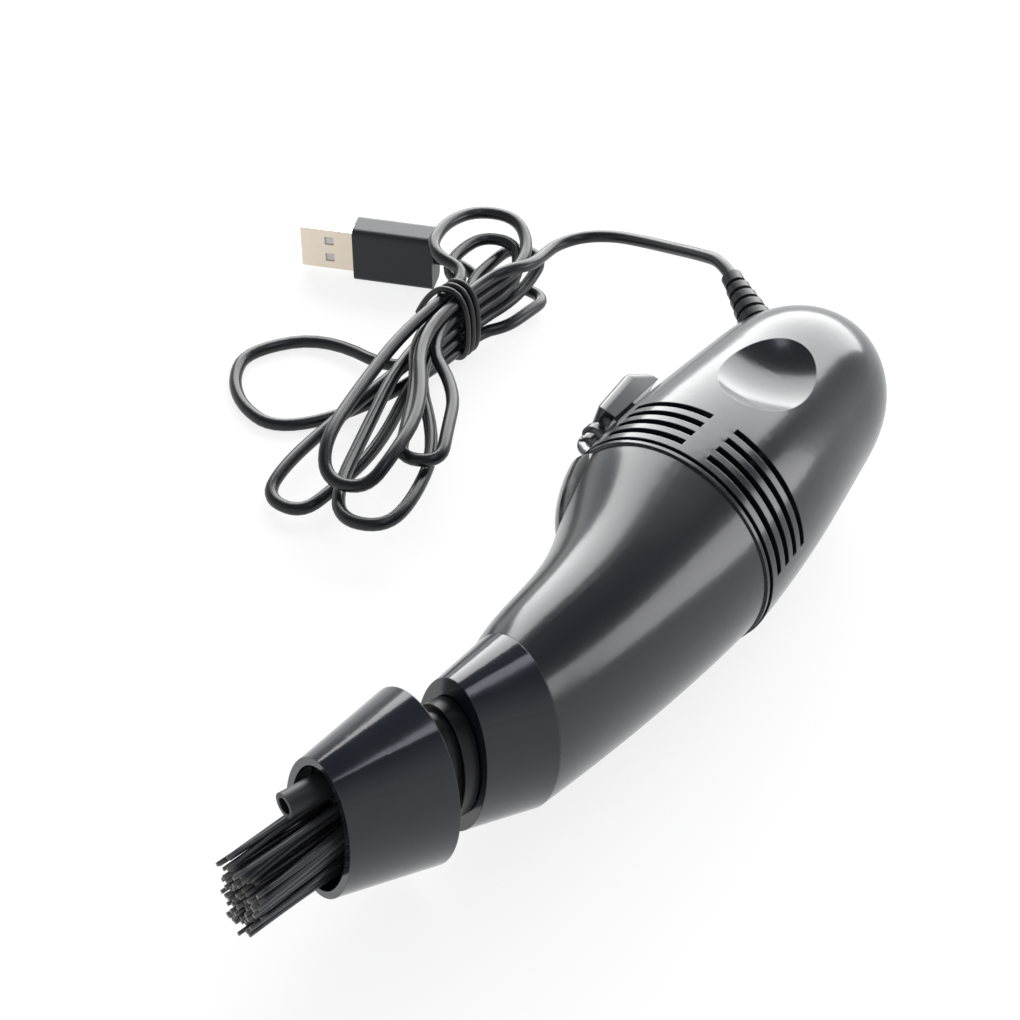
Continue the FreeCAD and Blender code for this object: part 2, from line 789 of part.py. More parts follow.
magnet_start = size(can_front + " + motor_wall + (motor_length - magnet_length) / 2 - end_cap_depth / 2")
magnets = []
for index, turn in enumerate((90, -90)):
    place = along_y(magnet_start, turn - size("magnet_angle") / 2)
    ring = cylinder("magnet_%d_outside" % (index + 1), place, "motor_radius - motor_wall - run_clearance",
                    "magnet_length", "magnet_angle")
    hollow = cylinder("magnet_%d_inside" % (index + 1), at(place, 0, 0, -size("overrun")),
                      "motor_radius - motor_wall - run_clearance - magnet_thick",
                      "magnet_length + 2 * overrun")
    magnets.append(cut("magnet_%d" % (index + 1), ring, hollow))
node(apart("motor_magnets", magnets))

armature_front = "(%s + motor_wall + (motor_length - armature_length) / 2 - end_cap_depth / 2)" % can_front
node(turned("motor_armature", [
    ("shaft_radius", armature_front), ("armature_radius", armature_front),
    ("armature_radius", armature_front + " + armature_length"),
    ("bearing_radius", armature_front + " + armature_length"),
    ("bearing_radius", armature_front + " + armature_length + bearing_length"),
    ("shaft_radius", armature_front + " + armature_length + bearing_length")]))

fan_front = "fan_back - fan_disc - fan_blade_height"
node(cylinder("motor_shaft", along_y(size(fan_front)), "shaft_radius",
              "%s + end_cap_length + bearing_length + shaft_tail - (%s)" % (can_back, fan_front)))

# Impeller: a disc, a hub and swept blades

impeller = turned("impeller", [
    ("shaft_radius", fan_front), ("fan_hub_radius", fan_front),
    ("fan_hub_radius", "fan_back - fan_disc"), ("fan_radius", "fan_back - fan_disc"),
    ("fan_radius", "fan_back"), ("shaft_radius", "fan_back")])
blade_outline = outline(sketch_on(impeller, "blade_outline", "XZ_Plane", "fan_disc - fan_back"), [
    ("fan_eye", "-fan_blade_thick / 2"), ("fan_radius - 2 * fan_blade_thick", "fan_blade_sweep"),
    ("fan_radius - 2 * fan_blade_thick", "fan_blade_sweep + fan_blade_thick"),
    ("fan_eye", "fan_blade_thick / 2")])
blade = padded(impeller, "blade", blade_outline, "fan_blade_height")
doc.recompute()
blades = impeller.newObject("PartDesign::PolarPattern", "blades")
blades.Originals = [blade]
blades.Axis = ([part for part in impeller.Origin.OriginFeatures if part.Role == "Y_Axis"][0], [""])
blades.Angle = 360
blades.setExpression("Occurrences", linked("fan_blade_count"))
impeller.Tip = blades
node(impeller)

# Inlet plate, filter frame and filter cloth

inlet_back = "inlet_setback + inlet_thick"
node(turned("inlet_plate", [
    ("inlet_eye", "inlet_setback"), ("spigot_radius - spigot_wall", "inlet_setback"),
    ("spigot_radius - spigot_wall", "inlet_setback - spigot_length"),
    ("spigot_radius", "inlet_setback - spigot_length"), ("spigot_radius", "inlet_setback"),
    ("body_radius - wall - seat_gap", "inlet_setback"),
    ("body_radius - wall - seat_gap", inlet_back), ("inlet_eye", inlet_back)]))

frame_outside = "(spigot_radius - spigot_wall - seat_gap)"
frame_front = "(inlet_setback - filter_frame_length)"
frame_ring = turned("filter_ring", [
    (frame_outside + " - filter_frame_wall", frame_front), (frame_outside, frame_front),
    (frame_outside, "inlet_setback"), (frame_outside + " - filter_frame_wall", "inlet_setback")])
bars = [block("filter_bar_%d" % (index + 1), along_y(size("inlet_setback - filter_bar"), turn),
              ("filter_frame_wall / 2 - " + frame_outside, "-filter_bar / 2", "0 * wall"),
              "2 * %s - filter_frame_wall" % frame_outside, "filter_bar", "filter_bar")
        for index, turn in enumerate((0, 90))]
node(group("filter_frame", [frame_ring] + bars), "filter_frame")

cloth_radius = size(frame_outside + " - filter_inset")
cloth_reach = size("filter_reach")
sheet.set("B1", "=((%s - filter_inset)^2 + filter_reach^2) / (2 * filter_reach)" % frame_outside)
sheet.setAlias("B1", "cloth_ball_radius")
doc.recompute()
cloth_middle = along_y(size(frame_front) - cloth_reach + size("cloth_ball_radius"))
cloth_space = block("cloth_space", FreeCAD.Placement(),
                    ("-body_radius", frame_front + " - body_radius", "-body_radius"),
                    "2 * body_radius", "body_radius", "2 * body_radius")
cloth_shell = cut("cloth_shell", primitive("Sphere", "cloth_outside", cloth_middle,
                                           Radius="cloth_ball_radius"),
                  primitive("Sphere", "cloth_inside", cloth_middle, Radius="cloth_ball_radius - filter_thick"))
node(common("filter_cloth", cloth_shell, cloth_space))

# Front shell: ovals that narrow, turn and shift from the collar to the nose

shell_shares = ((0.0, 0.0, 0.0), (0.25, 0.327, 0.643), (0.5, 0.635, 1.071), (0.75, 0.798, 1.048), (1.0, 1.0, 1.0))


def shell_form(label, inset):
    """Loft through the shell's sections, each taken in by a sum of sizes."""
    sections = []
    for index, (reach_share, narrow_share, side_share) in enumerate(shell_shares):
        turn = nose_angle * reach_share
        way = V(-math.sin(turn), -math.cos(turn), 0)
        reach = -size("seam_gap") - (size("nose_reach") - size("seam_gap")) * reach_share
        middle = V(size("nose_side") * side_share, reach, 0)
        place = axes_place(middle, UP, way.cross(UP), way)
        half_width = "collar_radius + (nose_half_width - collar_radius) * %g - (%s)" % (narrow_share, inset)
        half_height = "collar_radius + (nose_half_height - collar_radius) * %g - (%s)" % (reach_share, inset)
        sections.append(oval("%s_%d" % (label, index + 1), place, half_width, half_height))
    return loft(label, sections)


shell_outside = shell_form("shell_outside", "0 * wall")
shell_inside = shell_form("shell_inside", "wall")
window_floor = shell_form("window_floor", "window_seat")
window_base = shell_form("window_base", "window_seat + run_clearance")
window_turn = FreeCAD.Rotation(UP, size("window_turn"))
window_place = at(control_place, -size("window_side"), -size("window_middle"), 0).multiply(
    FreeCAD.Placement(V(), window_turn))


def window_form(label, extra):
    return primitive("Ellipsoid", label, window_place, Radius1="window_half_height + " + extra,
                     Radius2="window_half_depth + " + extra, Radius3="window_half_length + " + extra)


window_trim = block("window_trim", FreeCAD.Placement(),
                    ("-2 * body_radius", "-window_end_gap", "-body_radius"),
                    "4 * body_radius", "body_radius", "2 * body_radius")
node(cut("light_window", window_form("window_bump", "0 * wall"), window_floor, window_trim))

socket_front = "(seam_gap + socket_length)"
rear_trim = block("socket_space", FreeCAD.Placement(),
                  ("-2 * body_radius", "-" + socket_front, "-2 * body_radius"),
                  "4 * body_radius", "body_radius", "4 * body_radius")
room = cut("shell_room", shell_inside, rear_trim)
socket_bore = cylinder("socket_bore", along_y(-size(socket_front + " + run_clearance")),
                       "spigot_radius + slide_clearance", socket_front + " + overrun")
nose_room = oval_cone("nose_room", "-ring_lip", "overrun",
                      ("nose_half_width - wall", "nose_half_height - wall"),
                      ("nose_half_width - wall", "nose_half_height - wall"))
window_recess = cut("window_recess", window_form("window_recess_form", "window_groove"), window_base)
lip = cylinder("collar_lip_ring", along_y(-size("seam_gap + collar_lip_length")),
               "collar_radius + collar_lip", "collar_lip_length")
shell_body = group("shell_body", [shell_outside, lip])
node(cut("front_shell", shell_body, room, socket_bore, nose_room, window_recess))

# Nozzle ring

ring_outside = oval_cone("ring_outside", "0 * wall", "ring_length", ("nose_half_width", "nose_half_height"),
                         ("ring_front_half_width", "ring_front_half_height"))
ring_lip = oval_cone("ring_lip_outside", "-ring_lip", "ring_face",
                     ("nose_half_width - wall - seat_gap", "nose_half_height - wall - seat_gap"),
                     ("nose_half_width - wall - seat_gap", "nose_half_height - wall - seat_gap"))
ring_room = oval_cone("ring_room", "-ring_lip - overrun", "ring_length - ring_face",
                      ("nose_half_width - 2 * wall", "nose_half_height - 2 * wall"),
                      ("ring_front_half_width - wall / 2", "ring_front_half_height - wall"))
ring_bore = cylinder("ring_bore", along_nozzle(0), "neck_radius + run_clearance", "ring_length + overrun")
node(cut("nozzle_ring", group("ring_blank", [ring_outside, ring_lip]), ring_room, ring_bore))

# Neck: round tube with a catch behind the ring's face, an oval collar, a step and a round plug

neck_front = "(ring_length + neck_gap)"
collar_front = "(%s + neck_collar_length)" % neck_front
step_front = "(%s + neck_step_length)" % collar_front
head_back_face = "(%s + neck_gap)" % step_front
catch_back = "(ring_length - ring_face - neck_gap - neck_catch_thick)"


def even_oval(label, start, end, half_width, half_height):
    return oval_cone(label, start, end, (half_width, half_height), (half_width, half_height))


neck_solid = group("neck_solid", [
    cylinder("neck_tube", along_nozzle(size(catch_back)), "neck_radius", neck_front + " - " + catch_back),
    cylinder("neck_catch_ring", along_nozzle(size(catch_back)), "neck_radius + neck_catch",
             "neck_catch_thick"),
    even_oval("neck_collar", neck_front, collar_front, "neck_collar_half_width", "neck_collar_half_height"),
    even_oval("neck_step_oval", collar_front, step_front, "neck_collar_half_width - neck_step",
              "neck_collar_half_height - neck_step"),
    cylinder("neck_plug", along_nozzle(size(step_front)), "neck_plug_radius", "neck_plug_length")])
neck_hole = cylinder("neck_hole", along_nozzle(size(catch_back) - size("overrun")), "neck_bore",
                     "2 * ring_length + 2 * neck_plug_length + 2 * head_length")
node(cut("nozzle_neck", neck_solid, neck_hole))

# Brush cup with a plate on a ledge near its mouth

head_front = "(%s + head_length)" % head_back_face
plate_front = "(%s - brush_recess)" % head_front
plate_rear = "(%s - brush_plate_thick)" % plate_front


def head_sizes(reach, inset):
    """Half width and half height of the cup at a reach along the nozzle's axis, taken in by an inset."""
    share = "((%s - %s) / head_length)" % (reach, head_back_face)
    return ("head_rear_half_width + (head_front_half_width - head_rear_half_width) * %s - %s" % (share, inset),
            "head_rear_half_height + (head_front_half_height - head_rear_half_height) * %s - %s"
            % (share, inset))


def head_cone(label, start, end, inset):
    return oval_cone(label, start, end, head_sizes(start, inset), head_sizes(end, inset))


cup_outside = head_cone("cup_outside", head_back_face, head_front, "0 * wall")
mouth_room = head_cone("mouth_room", plate_rear, head_front + " + overrun", "head_wall")
cup_room = head_cone("cup_room", head_back_face + " + head_back", plate_rear + " + run_clearance",
                     "head_wall - head_ledge")
socket = cylinder("cup_socket", along_nozzle(size(head_back_face)),
                  "neck_plug_radius + run_clearance + head_socket_wall", "neck_plug_length + head_back")
socket_hole = cylinder("cup_socket_hole", along_nozzle(size(head_back_face) - size("overrun")),
                       "neck_plug_radius + run_clearance", "neck_plug_length + head_back + 2 * overrun")
cup_shell = cut("cup_shell", cup_outside, mouth_room, cup_room)
node(cut("brush_cup", group("cup_with_socket", [cup_shell, socket]), socket_hole))

# Tufts of bristles, by shares of the plate's front half height and half width

tuft_up_shares = (0.2, -0.04, -0.28, -0.52, -0.76)
tuft_side_shares = (-0.5, 0.0, 0.5)
tuft_narrow_share = 0.16
plate_half_height = size("head_front_half_height - head_wall")
plate_half_width = size("head_front_half_width - head_wall")
tufts = [(plate_half_height * up, plate_half_width * side * (1 - tuft_narrow_share * row))
         for row, up in enumerate(tuft_up_shares) for side in tuft_side_shares]
tube_place = along_nozzle(size(plate_rear) - size("tube_behind"), size("tube_side"), size("tube_up"))
plate_blank = head_cone("plate_blank", plate_rear, plate_front, "head_wall - seat_gap")
tube_hole = cylinder("tube_hole", tube_place, "tube_radius + run_clearance", "head_length")
tuft_holes = [cylinder("tuft_hole_%d" % (index + 1),
                       along_nozzle(size(plate_front + " - tuft_hole_depth"), side, up),
                       "tuft_hole_radius", "tuft_hole_depth + overrun")
              for index, (up, side) in enumerate(tufts)]
node(cut("brush_plate", plate_blank, tube_hole, *tuft_holes))

tube_length = "tube_behind + brush_plate_thick + brush_recess + tube_ahead"
tube_flow = cylinder("tube_flow", at(tube_place, 0, 0, -size("overrun")), "tube_bore",
                     tube_length + " + 2 * overrun")
node(cut("suction_tube", cylinder("tube_wall", tube_place, "tube_radius", tube_length), tube_flow))


def bristles():
    """Four tapered strands to a tuft, fanned out so that the whole brush spreads toward its tips."""
    root_reach = size(plate_front + " - tuft_hole_depth + 2 * run_clearance")
    strands = []
    step = size("bristle_spacing")
    corners = ((-step, -step), (step, -step), (step, step), (-step, step))
    for index, (up, side) in enumerate(tufts):
        for turn, (aside, upward) in enumerate(corners):
            root = V(up + upward, side + aside, root_reach)
            lean_up = up * fan_up_share + upward + clump_up_shares[index // len(tuft_side_shares)] * step
            lean_side = side * fan_side_share + aside * 2 * fan_side_share
            shorter = size("bristle_length") * (1 - short_shares[(index + turn) % len(short_shares)])
            tip = root + V(lean_up, lean_side, shorter)
            way = tip - root
            strands.append(Part.makeCone(size("bristle_radius"), size("bristle_tip_radius"), way.Length,
                                         root, way))
    return Part.makeCompound(strands)


fan_up_share = 0.12
fan_side_share = 0.55
clump_up_shares = (1.0, -1.0, -3.0, -1.5, 0.5)
short_shares = (0.0, 0.06, 0.02, 0.09, 0.04, 0.12, 0.01)
brush_bristles = shaped("brush_bristles", bristles())
brush_bristles.Placement = nozzle_place
node(brush_bristles)

# Switch knob, lever, slide switch and board

knob = doc.addObject("PartDesign::Body", "switch_knob")
knob_outline = outline(sketch_on(knob, "knob_outline", "XY_Plane"), [
    ("-stem_inner - wall", "knob_front"), ("-knob_reach", "knob_front"),
    ("-knob_reach - knob_rise", "knob_front + knob_length - 2 * knob_rear_drop"),
    ("-knob_reach + knob_rise", "knob_front + knob_length"), ("-stem_inner - wall", "knob_front + knob_length")])
knob_block = padded(knob, "knob_block", knob_outline, "knob_wide", midplane=True)
doc.recompute()
knob_edges = [("Edge%d" % (index + 1)) for index, edge in enumerate(knob_block.Shape.Edges)
              if edge.CenterOfMass.x < -size("knob_underside + knob_round")]
knob_round = knob.newObject("PartDesign::Fillet", "knob_rounding")
knob_round.Base = (knob_block, knob_edges)
knob_round.setExpression("Radius", linked("knob_round"))
knob.Tip = knob_round
doc.recompute()
pocketed(knob, "knob_underside_cut", circle(sketch_on(knob, "knob_underside_circle", "XZ_Plane"),
                                            "knob_underside"), midplane=True)
stem = padded(knob, "stem", outline(sketch_on(knob, "stem_outline", "XY_Plane"), [
    ("-knob_underside - wall", stem_front), ("-stem_inner", stem_front),
    ("-stem_inner", stem_front + " + stem_long"), ("-knob_underside - wall", stem_front + " + stem_long")]),
    "stem_wide", midplane=True)
foot = padded(knob, "foot", outline(sketch_on(knob, "foot_outline", "XY_Plane"), [
    ("-foot_outer", stem_front), ("-foot_outer + foot_thick", stem_front),
    ("-foot_outer + foot_thick", stem_front + " + stem_long"), ("-foot_outer", stem_front + " + stem_long")]),
    "foot_wide", midplane=True)
lever_middle = "(%s)" % knob_middle
pocketed(knob, "lever_socket", outline(sketch_on(knob, "lever_socket_outline", "XY_Plane"), [
    ("-stem_inner + overrun", lever_middle + " - lever_long / 2 - run_clearance"),
    ("-stem_inner - lever_overlap - run_clearance", lever_middle + " - lever_long / 2 - run_clearance"),
    ("-stem_inner - lever_overlap - run_clearance", lever_middle + " + lever_long / 2 + run_clearance"),
    ("-stem_inner + overrun", lever_middle + " + lever_long / 2 + run_clearance")]),
    "lever_wide + 2 * run_clearance", midplane=True)
knob.Placement = control_place
node(knob)

node(block("switch_lever", control_place,
           ("-stem_inner - lever_overlap", lever_middle + " - lever_long / 2", "-lever_wide / 2"),
           "stem_inner + lever_overlap - (board_side + switch_depth - lever_depth)", "lever_long",
           "lever_wide"))

switch_middle = "(%s + knob_travel / 2)" % lever_middle
switch_body = block("switch_case", control_place,
                    ("-board_side - switch_depth", switch_middle + " - switch_long / 2", "-switch_wide / 2"),
                    "switch_depth", "switch_long", "switch_wide")
switch_slot = block("switch_slot", control_place,
                    ("-board_side - switch_depth - overrun",
                     switch_middle + " - (lever_long + knob_travel) / 2 - slide_clearance",
                     "-lever_wide / 2 - slide_clearance"),
                    "overrun + switch_slot_depth", "lever_long + knob_travel + 2 * slide_clearance",
                    "lever_wide + 2 * slide_clearance")
node(cut("slide_switch", switch_body, switch_slot))

node(block("switch_board", control_place, ("-board_side", "board_back", "-board_wide / 2"),
           "board_thick", "board_long", "board_wide"))

resistor_axis = -size("board_side + resistor_radius")
inward = FreeCAD.Placement(V(), FreeCAD.Rotation(BACK, 90))
resistor = [cylinder("resistor_case", at(control_place, resistor_axis, size("resistor_back"), 0).multiply(
                along_y(0)), "resistor_radius", "resistor_length"),
            cylinder("resistor_wire", at(control_place, resistor_axis, size("resistor_back - resistor_reach"),
                     0).multiply(along_y(0)), "resistor_lead", "resistor_length + 2 * resistor_reach")]
for sign, reach in ((0, "resistor_back - resistor_reach + 2 * resistor_lead"),
                    (1, "resistor_back + resistor_length + resistor_reach - 2 * resistor_lead")):
    resistor.append(cylinder("resistor_leg_%d" % (sign + 1), at(control_place, resistor_axis, size(reach),
                             0).multiply(inward), "resistor_lead - run_clearance", "resistor_radius"))
node(group("led_resistor", resistor))

# Lamp: a round case with a domed front, a flange and two leads

lamp_body = turned("lamp_case", [
    ("0 * wall", "lamp_front + lamp_radius"), ("lamp_radius", "lamp_front + lamp_radius"),
    ("lamp_radius", "lamp_front + lamp_length - lamp_flange_thick"),
    ("lamp_radius + lamp_flange", "lamp_front + lamp_length - lamp_flange_thick"),
    ("lamp_radius + lamp_flange", "lamp_front + lamp_length"), ("0 * wall", "lamp_front + lamp_length")])
lamp_body.Placement = at(control_place, -size("lamp_side"), 0, 0)
lamp_dome = primitive("Sphere", "lamp_dome", at(control_place, -size("lamp_side"),
                      size("lamp_front + lamp_radius"), 0), Radius="lamp_radius")
lamp_leads = []
for sign in (-1, 1):
    place = at(control_place, -size("lamp_lead_inner"), lamp_lead_back, sign * size("lamp_lead_apart") / 2)
    lamp_leads.append(cylinder("lamp_lead_%d" % (sign + 2), place.multiply(
        FreeCAD.Placement(V(), FreeCAD.Rotation(BACK, -90))), "lamp_lead_radius",
        "lamp_side - lamp_lead_inner"))
node(group("led_bulb", [lamp_body, lamp_dome] + lamp_leads))

# Strain relief: an inner flange, a neck through the wall and a tapering, ribbed sleeve


def relief_outline():
    """Corners of the sleeve's outline, each groove as deep as the wall of the one before, less the taper."""
    corners = [("0 * wall", "-(wall + relief_seat + relief_flange)"),
               ("relief_flange_radius", "-(wall + relief_seat + relief_flange)"),
               ("relief_flange_radius", "-(wall + relief_seat)"),
               ("relief_neck_radius", "-(wall + relief_seat)"), ("relief_neck_radius", "relief_seat / 2")]
    count = int(size("relief_ribs"))
    rib = "((relief_length - relief_tip_length - relief_seat / 2) / relief_ribs - relief_rib_gap)"
    for index in range(count):
        start = "relief_seat / 2 + %d * (%s + relief_rib_gap)" % (index, rib)
        radius = "(relief_base_radius - (relief_base_radius - relief_tip_radius) * %d / relief_ribs)" % index
        corners += [(radius, start), (radius, start + " + " + rib),
                    (radius + " - relief_groove", start + " + " + rib),
                    (radius + " - relief_groove", start + " + " + rib + " + relief_rib_gap")]
    return corners + [("relief_tip_radius", "relief_length - relief_tip_length"),
                      ("relief_tip_radius", "relief_length"), ("0 * wall", "relief_length")]


strain_relief = turned("strain_relief", relief_outline())
strain_relief.Placement = relief_place
node(strain_relief)

# Tubes that follow a route: straight runs joined by tangent arcs


def route_wire(points, radii):
    """Wire through the points, each corner rounded with 0.45 of its shorter run; its radii are collected."""
    edges = []
    start = points[0]
    for before, here, after in zip(points, points[1:], points[2:]):
        first, second = here - before, after - here
        half_turn = first.getAngle(second) / 2
        reach = arc_run_share * min(first.Length, second.Length)
        radii.append(reach / math.tan(half_turn))
        first.normalize()
        second.normalize()
        near, far = here - first * reach, here + second * reach
        inward_way = second - first
        inward_way.normalize()
        middle = here + inward_way * (radii[-1] / math.cos(half_turn) - radii[-1])
        edges += [Part.LineSegment(start, near).toShape(), Part.Arc(near, middle, far).toShape()]
        start = far
    edges.append(Part.LineSegment(start, points[-1]).toShape())
    return Part.Wire(edges)


def tube(wire, radius):
    """Round tube along a wire, as long as its section says."""
    start = wire.Edges[0]
    way = start.tangentAt(start.FirstParameter)
    section = Part.Wire([Part.Circle(wire.Edges[0].valueAt(start.FirstParameter), way, radius).toShape()])
    solid = wire.makePipeShell([section], True, False)
    ratio = solid.Volume / (math.pi * radius ** 2 * wire.Length)
    if abs(ratio - 1) > volume_slack_share:
        raise RuntimeError("a tube's volume is %.4f of its section times its length" % ratio)
    return solid


arc_run_share = 0.45
volume_slack_share = 0.01


def route(points, radius, name):
    radii = []
    wire = route_wire(points, radii)
    print("%s: length %.1f mm, arc radii %s" % (name, wire.Length, " ".join("%.1f" % one for one in radii)))
    return tube(wire, radius)


# Wires inside the rear housing

wire_start = -size("wall + relief_seat + relief_flange")
board_end = size("board_back + board_long")
board_middle = size("board_side - board_thick / 2")


def on_board(up):
    return control_place.multVec(V(-board_middle, board_end + size("seat_gap"), up))


def supply_wire(side):
    spread = side * size("supply_wire_apart") / 2
    first = relief_exit + relief_way * wire_start + UP * spread
    return route([first, first - relief_way * 4.2, V(-13.4, 55.6, 2 * spread),
                  V(-13.1, 46.8, 3 * spread), on_board(3 * spread)],
                 size("supply_wire_radius"), "supply wire")


node(apart("supply_wires", [shaped("supply_wire_1", supply_wire(1)), shaped("supply_wire_2", supply_wire(-1))]))

terminal_tip = size(terminal_back)
wire_tip = terminal_tip + size("seat_gap")
motor_wire_routes = [
    [on_board(4.8), V(-14.0, 45.6, 7.2), V(-12.4, 52.4, 7.4), V(-8.4, 56.6, 4.4),
     V(-size("terminal_side"), terminal_tip + 2.4, 0.8), V(-size("terminal_side"), wire_tip, 0)],
    [on_board(-4.8), V(-14.2, 45.4, -5.6), V(-11.8, 52.6, -8.0), V(-4.6, 56.8, -7.6), V(3.4, 57.2, -4.4),
     V(size("terminal_side"), terminal_tip + 2.6, -0.9), V(size("terminal_side"), wire_tip, 0)]]
node(apart("motor_wires", [shaped("motor_wire_%d" % (index + 1),
                                  route(points, size("motor_wire_radius"), "motor wire"))
                           for index, points in enumerate(motor_wire_routes)]))

# The lead: round tubes from the strain relief to the plug, with a tied hank between them

roll = FreeCAD.Placement(V(0, 0, size("body_radius")), FreeCAD.Rotation(BACK, size("body_roll")))
relief_tip = roll.multVec(relief_exit + relief_way * size("relief_length"))
tip_way = roll.Rotation.multVec(relief_way)
waist = V(size("hank_x"), size("hank_y"), 0)
column = size("lead_radius + hank_gap / 2")
level = size("2 * lead_radius + hank_gap")
half_pass = size("hank_pass / 2")

# Each loop's fan, length, width, the place of its flanks, and the heights of its flanks and its tip, as
# shares of the widest fan, the longest loop, the loop's own length, that again, and the highest pass
lower_loop_shares = ((-0.456, 0.904, 0.122, 0.81, 0.968, 0.723), (-0.817, 0.743, 0.0855, 0.74, 0.771, 0.734),
                     (-0.6, 1.0, 0.1174, 0.81, 0.537, 0.521), (-0.103, 0.939, 0.1036, 0.79, 0.239, 0.17),
                     (1.0, 0.733, 0.29, 0.79, 0.0904, 0.0904))
upper_loop_shares = ((0.583, 0.493, 0.305, 0.6, 0.989, 1.011), (0.447, 0.419, 0.254, 0.6, 0.739, 0.803),
                     (0.144, 0.463, 0.157, 0.6, 0.532, 0.596), (-0.117, 0.396, 0.184, 0.57, 0.319, 0.181))
upper_step_share = 0.35


def pass_height(index):
    """Height of a pass through the waist, counted down from the highest."""
    return size("hank_low") + level * (len(lower_loop_shares) - 1 - index)


def loop_stops(shares, rearward, step):
    """Points and headings at a loop's two flanks and its tip; rearward is 1 or -1."""
    fan, length, width, flank, flank_height, tip_height = shares
    turn = math.radians(fan * size("hank_fan"))
    along = V(-math.sin(turn), rearward * math.cos(turn), 0)
    across = V(rearward * math.cos(turn), math.sin(turn), 0)
    reach = length * size("hank_length")
    middle = waist + along * (reach * flank) + UP * (pass_height(0) * flank_height)
    return [(middle - across * (reach * width) + UP * step, along),
            (waist + along * reach + UP * (pass_height(0) * tip_height), across),
            (middle + across * (reach * width) - UP * step, along * -1)]


def hank_stops():
    """Points and headings from the lead's pass through the waist to the tail's."""
    stops = []
    for index, shares in enumerate(lower_loop_shares):
        height = pass_height(index)
        stops += [(waist + V(column, half_pass, height), BACK * -1),
                  (waist + V(column, -half_pass, height), BACK * -1)]
        stops += loop_stops(shares, -1, 0)
        stops += [(waist + V(-column, -half_pass, height), BACK), (waist + V(-column, half_pass, height), BACK)]
        if index < len(upper_loop_shares):
            stops += loop_stops(upper_loop_shares[index], 1, level * upper_step_share)
    return stops


def biarc(start, start_way, end, end_way):
    """Edges that leave one stop and reach the next in their headings: two arcs, or a straight run."""
    gap = end - start
    if (gap.cross(start_way).Length + gap.cross(end_way).Length) / gap.Length < straight_share:
        return [Part.LineSegment(start, end).toShape()], []
    both = start_way + end_way
    bend = start_way.dot(end_way)
    if 1 - bend < straight_share:
        reach = gap.dot(gap) / (4 * gap.dot(end_way))
    else:
        along = gap.dot(both)
        reach = (math.sqrt(along ** 2 + 2 * (1 - bend) * gap.dot(gap)) - along) / (2 * (1 - bend))
    first, second = start + start_way * reach, end - end_way * reach
    joint = (first + second) * 0.5
    edges, radii = [], []
    for near, corner, far in ((start, first, joint), (joint, second, end)):
        half = (far - near).Length / 2
        middle = ((near + far) * 0.5 + corner * (half / reach)) * (1 / (1 + half / reach))
        edges.append(Part.Arc(near, middle, far).toShape())
        radii.append(half / math.sin(math.acos(half / reach)))
    return edges, radii


def self_gap(edges):
    """Least gap between stretches of the tube that aren't next to each other, measured on points."""
    spots = []
    run = 0.0
    for edge in edges:
        count = max(2, int(edge.Length / size("hank_gap")))
        for spot in edge.discretize(Number=count)[:-1]:
            spots.append((run, spot.x, spot.y, spot.z))
            run += edge.Length / (count - 1)
    apart_by = 6 * size("lead_radius")
    least = apart_by ** 2
    for index, (reach, x, y, z) in enumerate(spots):
        for other, ox, oy, oz in spots[index + 1:]:
            if other - reach > apart_by:
                least = min(least, (x - ox) ** 2 + (y - oy) ** 2 + (z - oz) ** 2)
    return math.sqrt(least) - 2 * size("lead_radius")


straight_share = 1e-7
stops = hank_stops()
hank_edges, hank_radii = [], []
for (start, start_way), (end, end_way) in zip(stops, stops[1:]):
    edges, radii = biarc(start, start_way, end, end_way)
    hank_edges += edges
    hank_radii += radii
hank_wire = Part.Wire(hank_edges)
print("hank: length %.1f mm, least arc radius %.1f mm, least gap to itself %.2f mm"
      % (hank_wire.Length, min(hank_radii), self_gap(hank_edges)))
node(shaped("cord_hank", tube(hank_wire, size("lead_radius"))), lying=True)

lead_points = [relief_tip, relief_tip + tip_way * size("lead_exit_run"),
               V(-50.6, 90.2, 28.8), V(-62.0, 94.4, 23.8), V(-72.6, 96.8, 20.2), V(-80.9, 97.2, 18.0),
               V(-88.0, 93.8, 16.8), V(-91.6, 87.2, 16.6), V(-90.9, 79.8, 17.5), V(-89.6, 72.8, 19.1),
               V(-92.1, 66.8, 20.2), stops[0][0] + BACK * size("lead_end_run"), stops[0][0]]
node(shaped("cord_lead", route(lead_points, size("lead_radius"), "lead")), lying=True)

plug_turn = FreeCAD.Rotation(UP, size("plug_turn"))
plug_place = FreeCAD.Placement(V(size("plug_front_x"), size("plug_front_y"), 0), plug_turn)
plug_way = plug_turn.multVec(V(1, 0, 0))
plug_back = plug_place.multVec(V(size("overmold_long"), 0, size("overmold_high / 2")))
tail_points = [stops[-1][0], stops[-1][0] + BACK * size("tail_start_run"), V(-98.6, 63.6, 2.7),
               V(-101.4, 71.2, 2.7), V(-108.5, 75.9, 5.2), plug_back + plug_way * size("tail_end_run"), plug_back]
node(shaped("cord_tail", route(tail_points, size("lead_radius"), "tail")), lying=True)

# Wire tie: three turns round the waist, with both ends turned out to one side

tie_side = column + size("lead_radius + tie_gap + tie_radius")
tie_rise = level * (len(lower_loop_shares) - 1) / 2 + size("lead_radius + tie_gap + tie_radius")
tie_middle = waist + UP * (level * (len(lower_loop_shares) - 1) / 2 + size("hank_low"))
tie_corner_ways = ((-1, 1), (1, 1), (1, -1), (-1, -1))
tie_turn_count = 3


def tie_spot(quarter, side, rise):
    """A place on the tie, so many quarter turns on, at its side and its height from the waist's middle."""
    along = size("tie_pitch") * (quarter / 4 - tie_turn_count / 2 + 0.5)
    return tie_middle + V(side, along, rise)


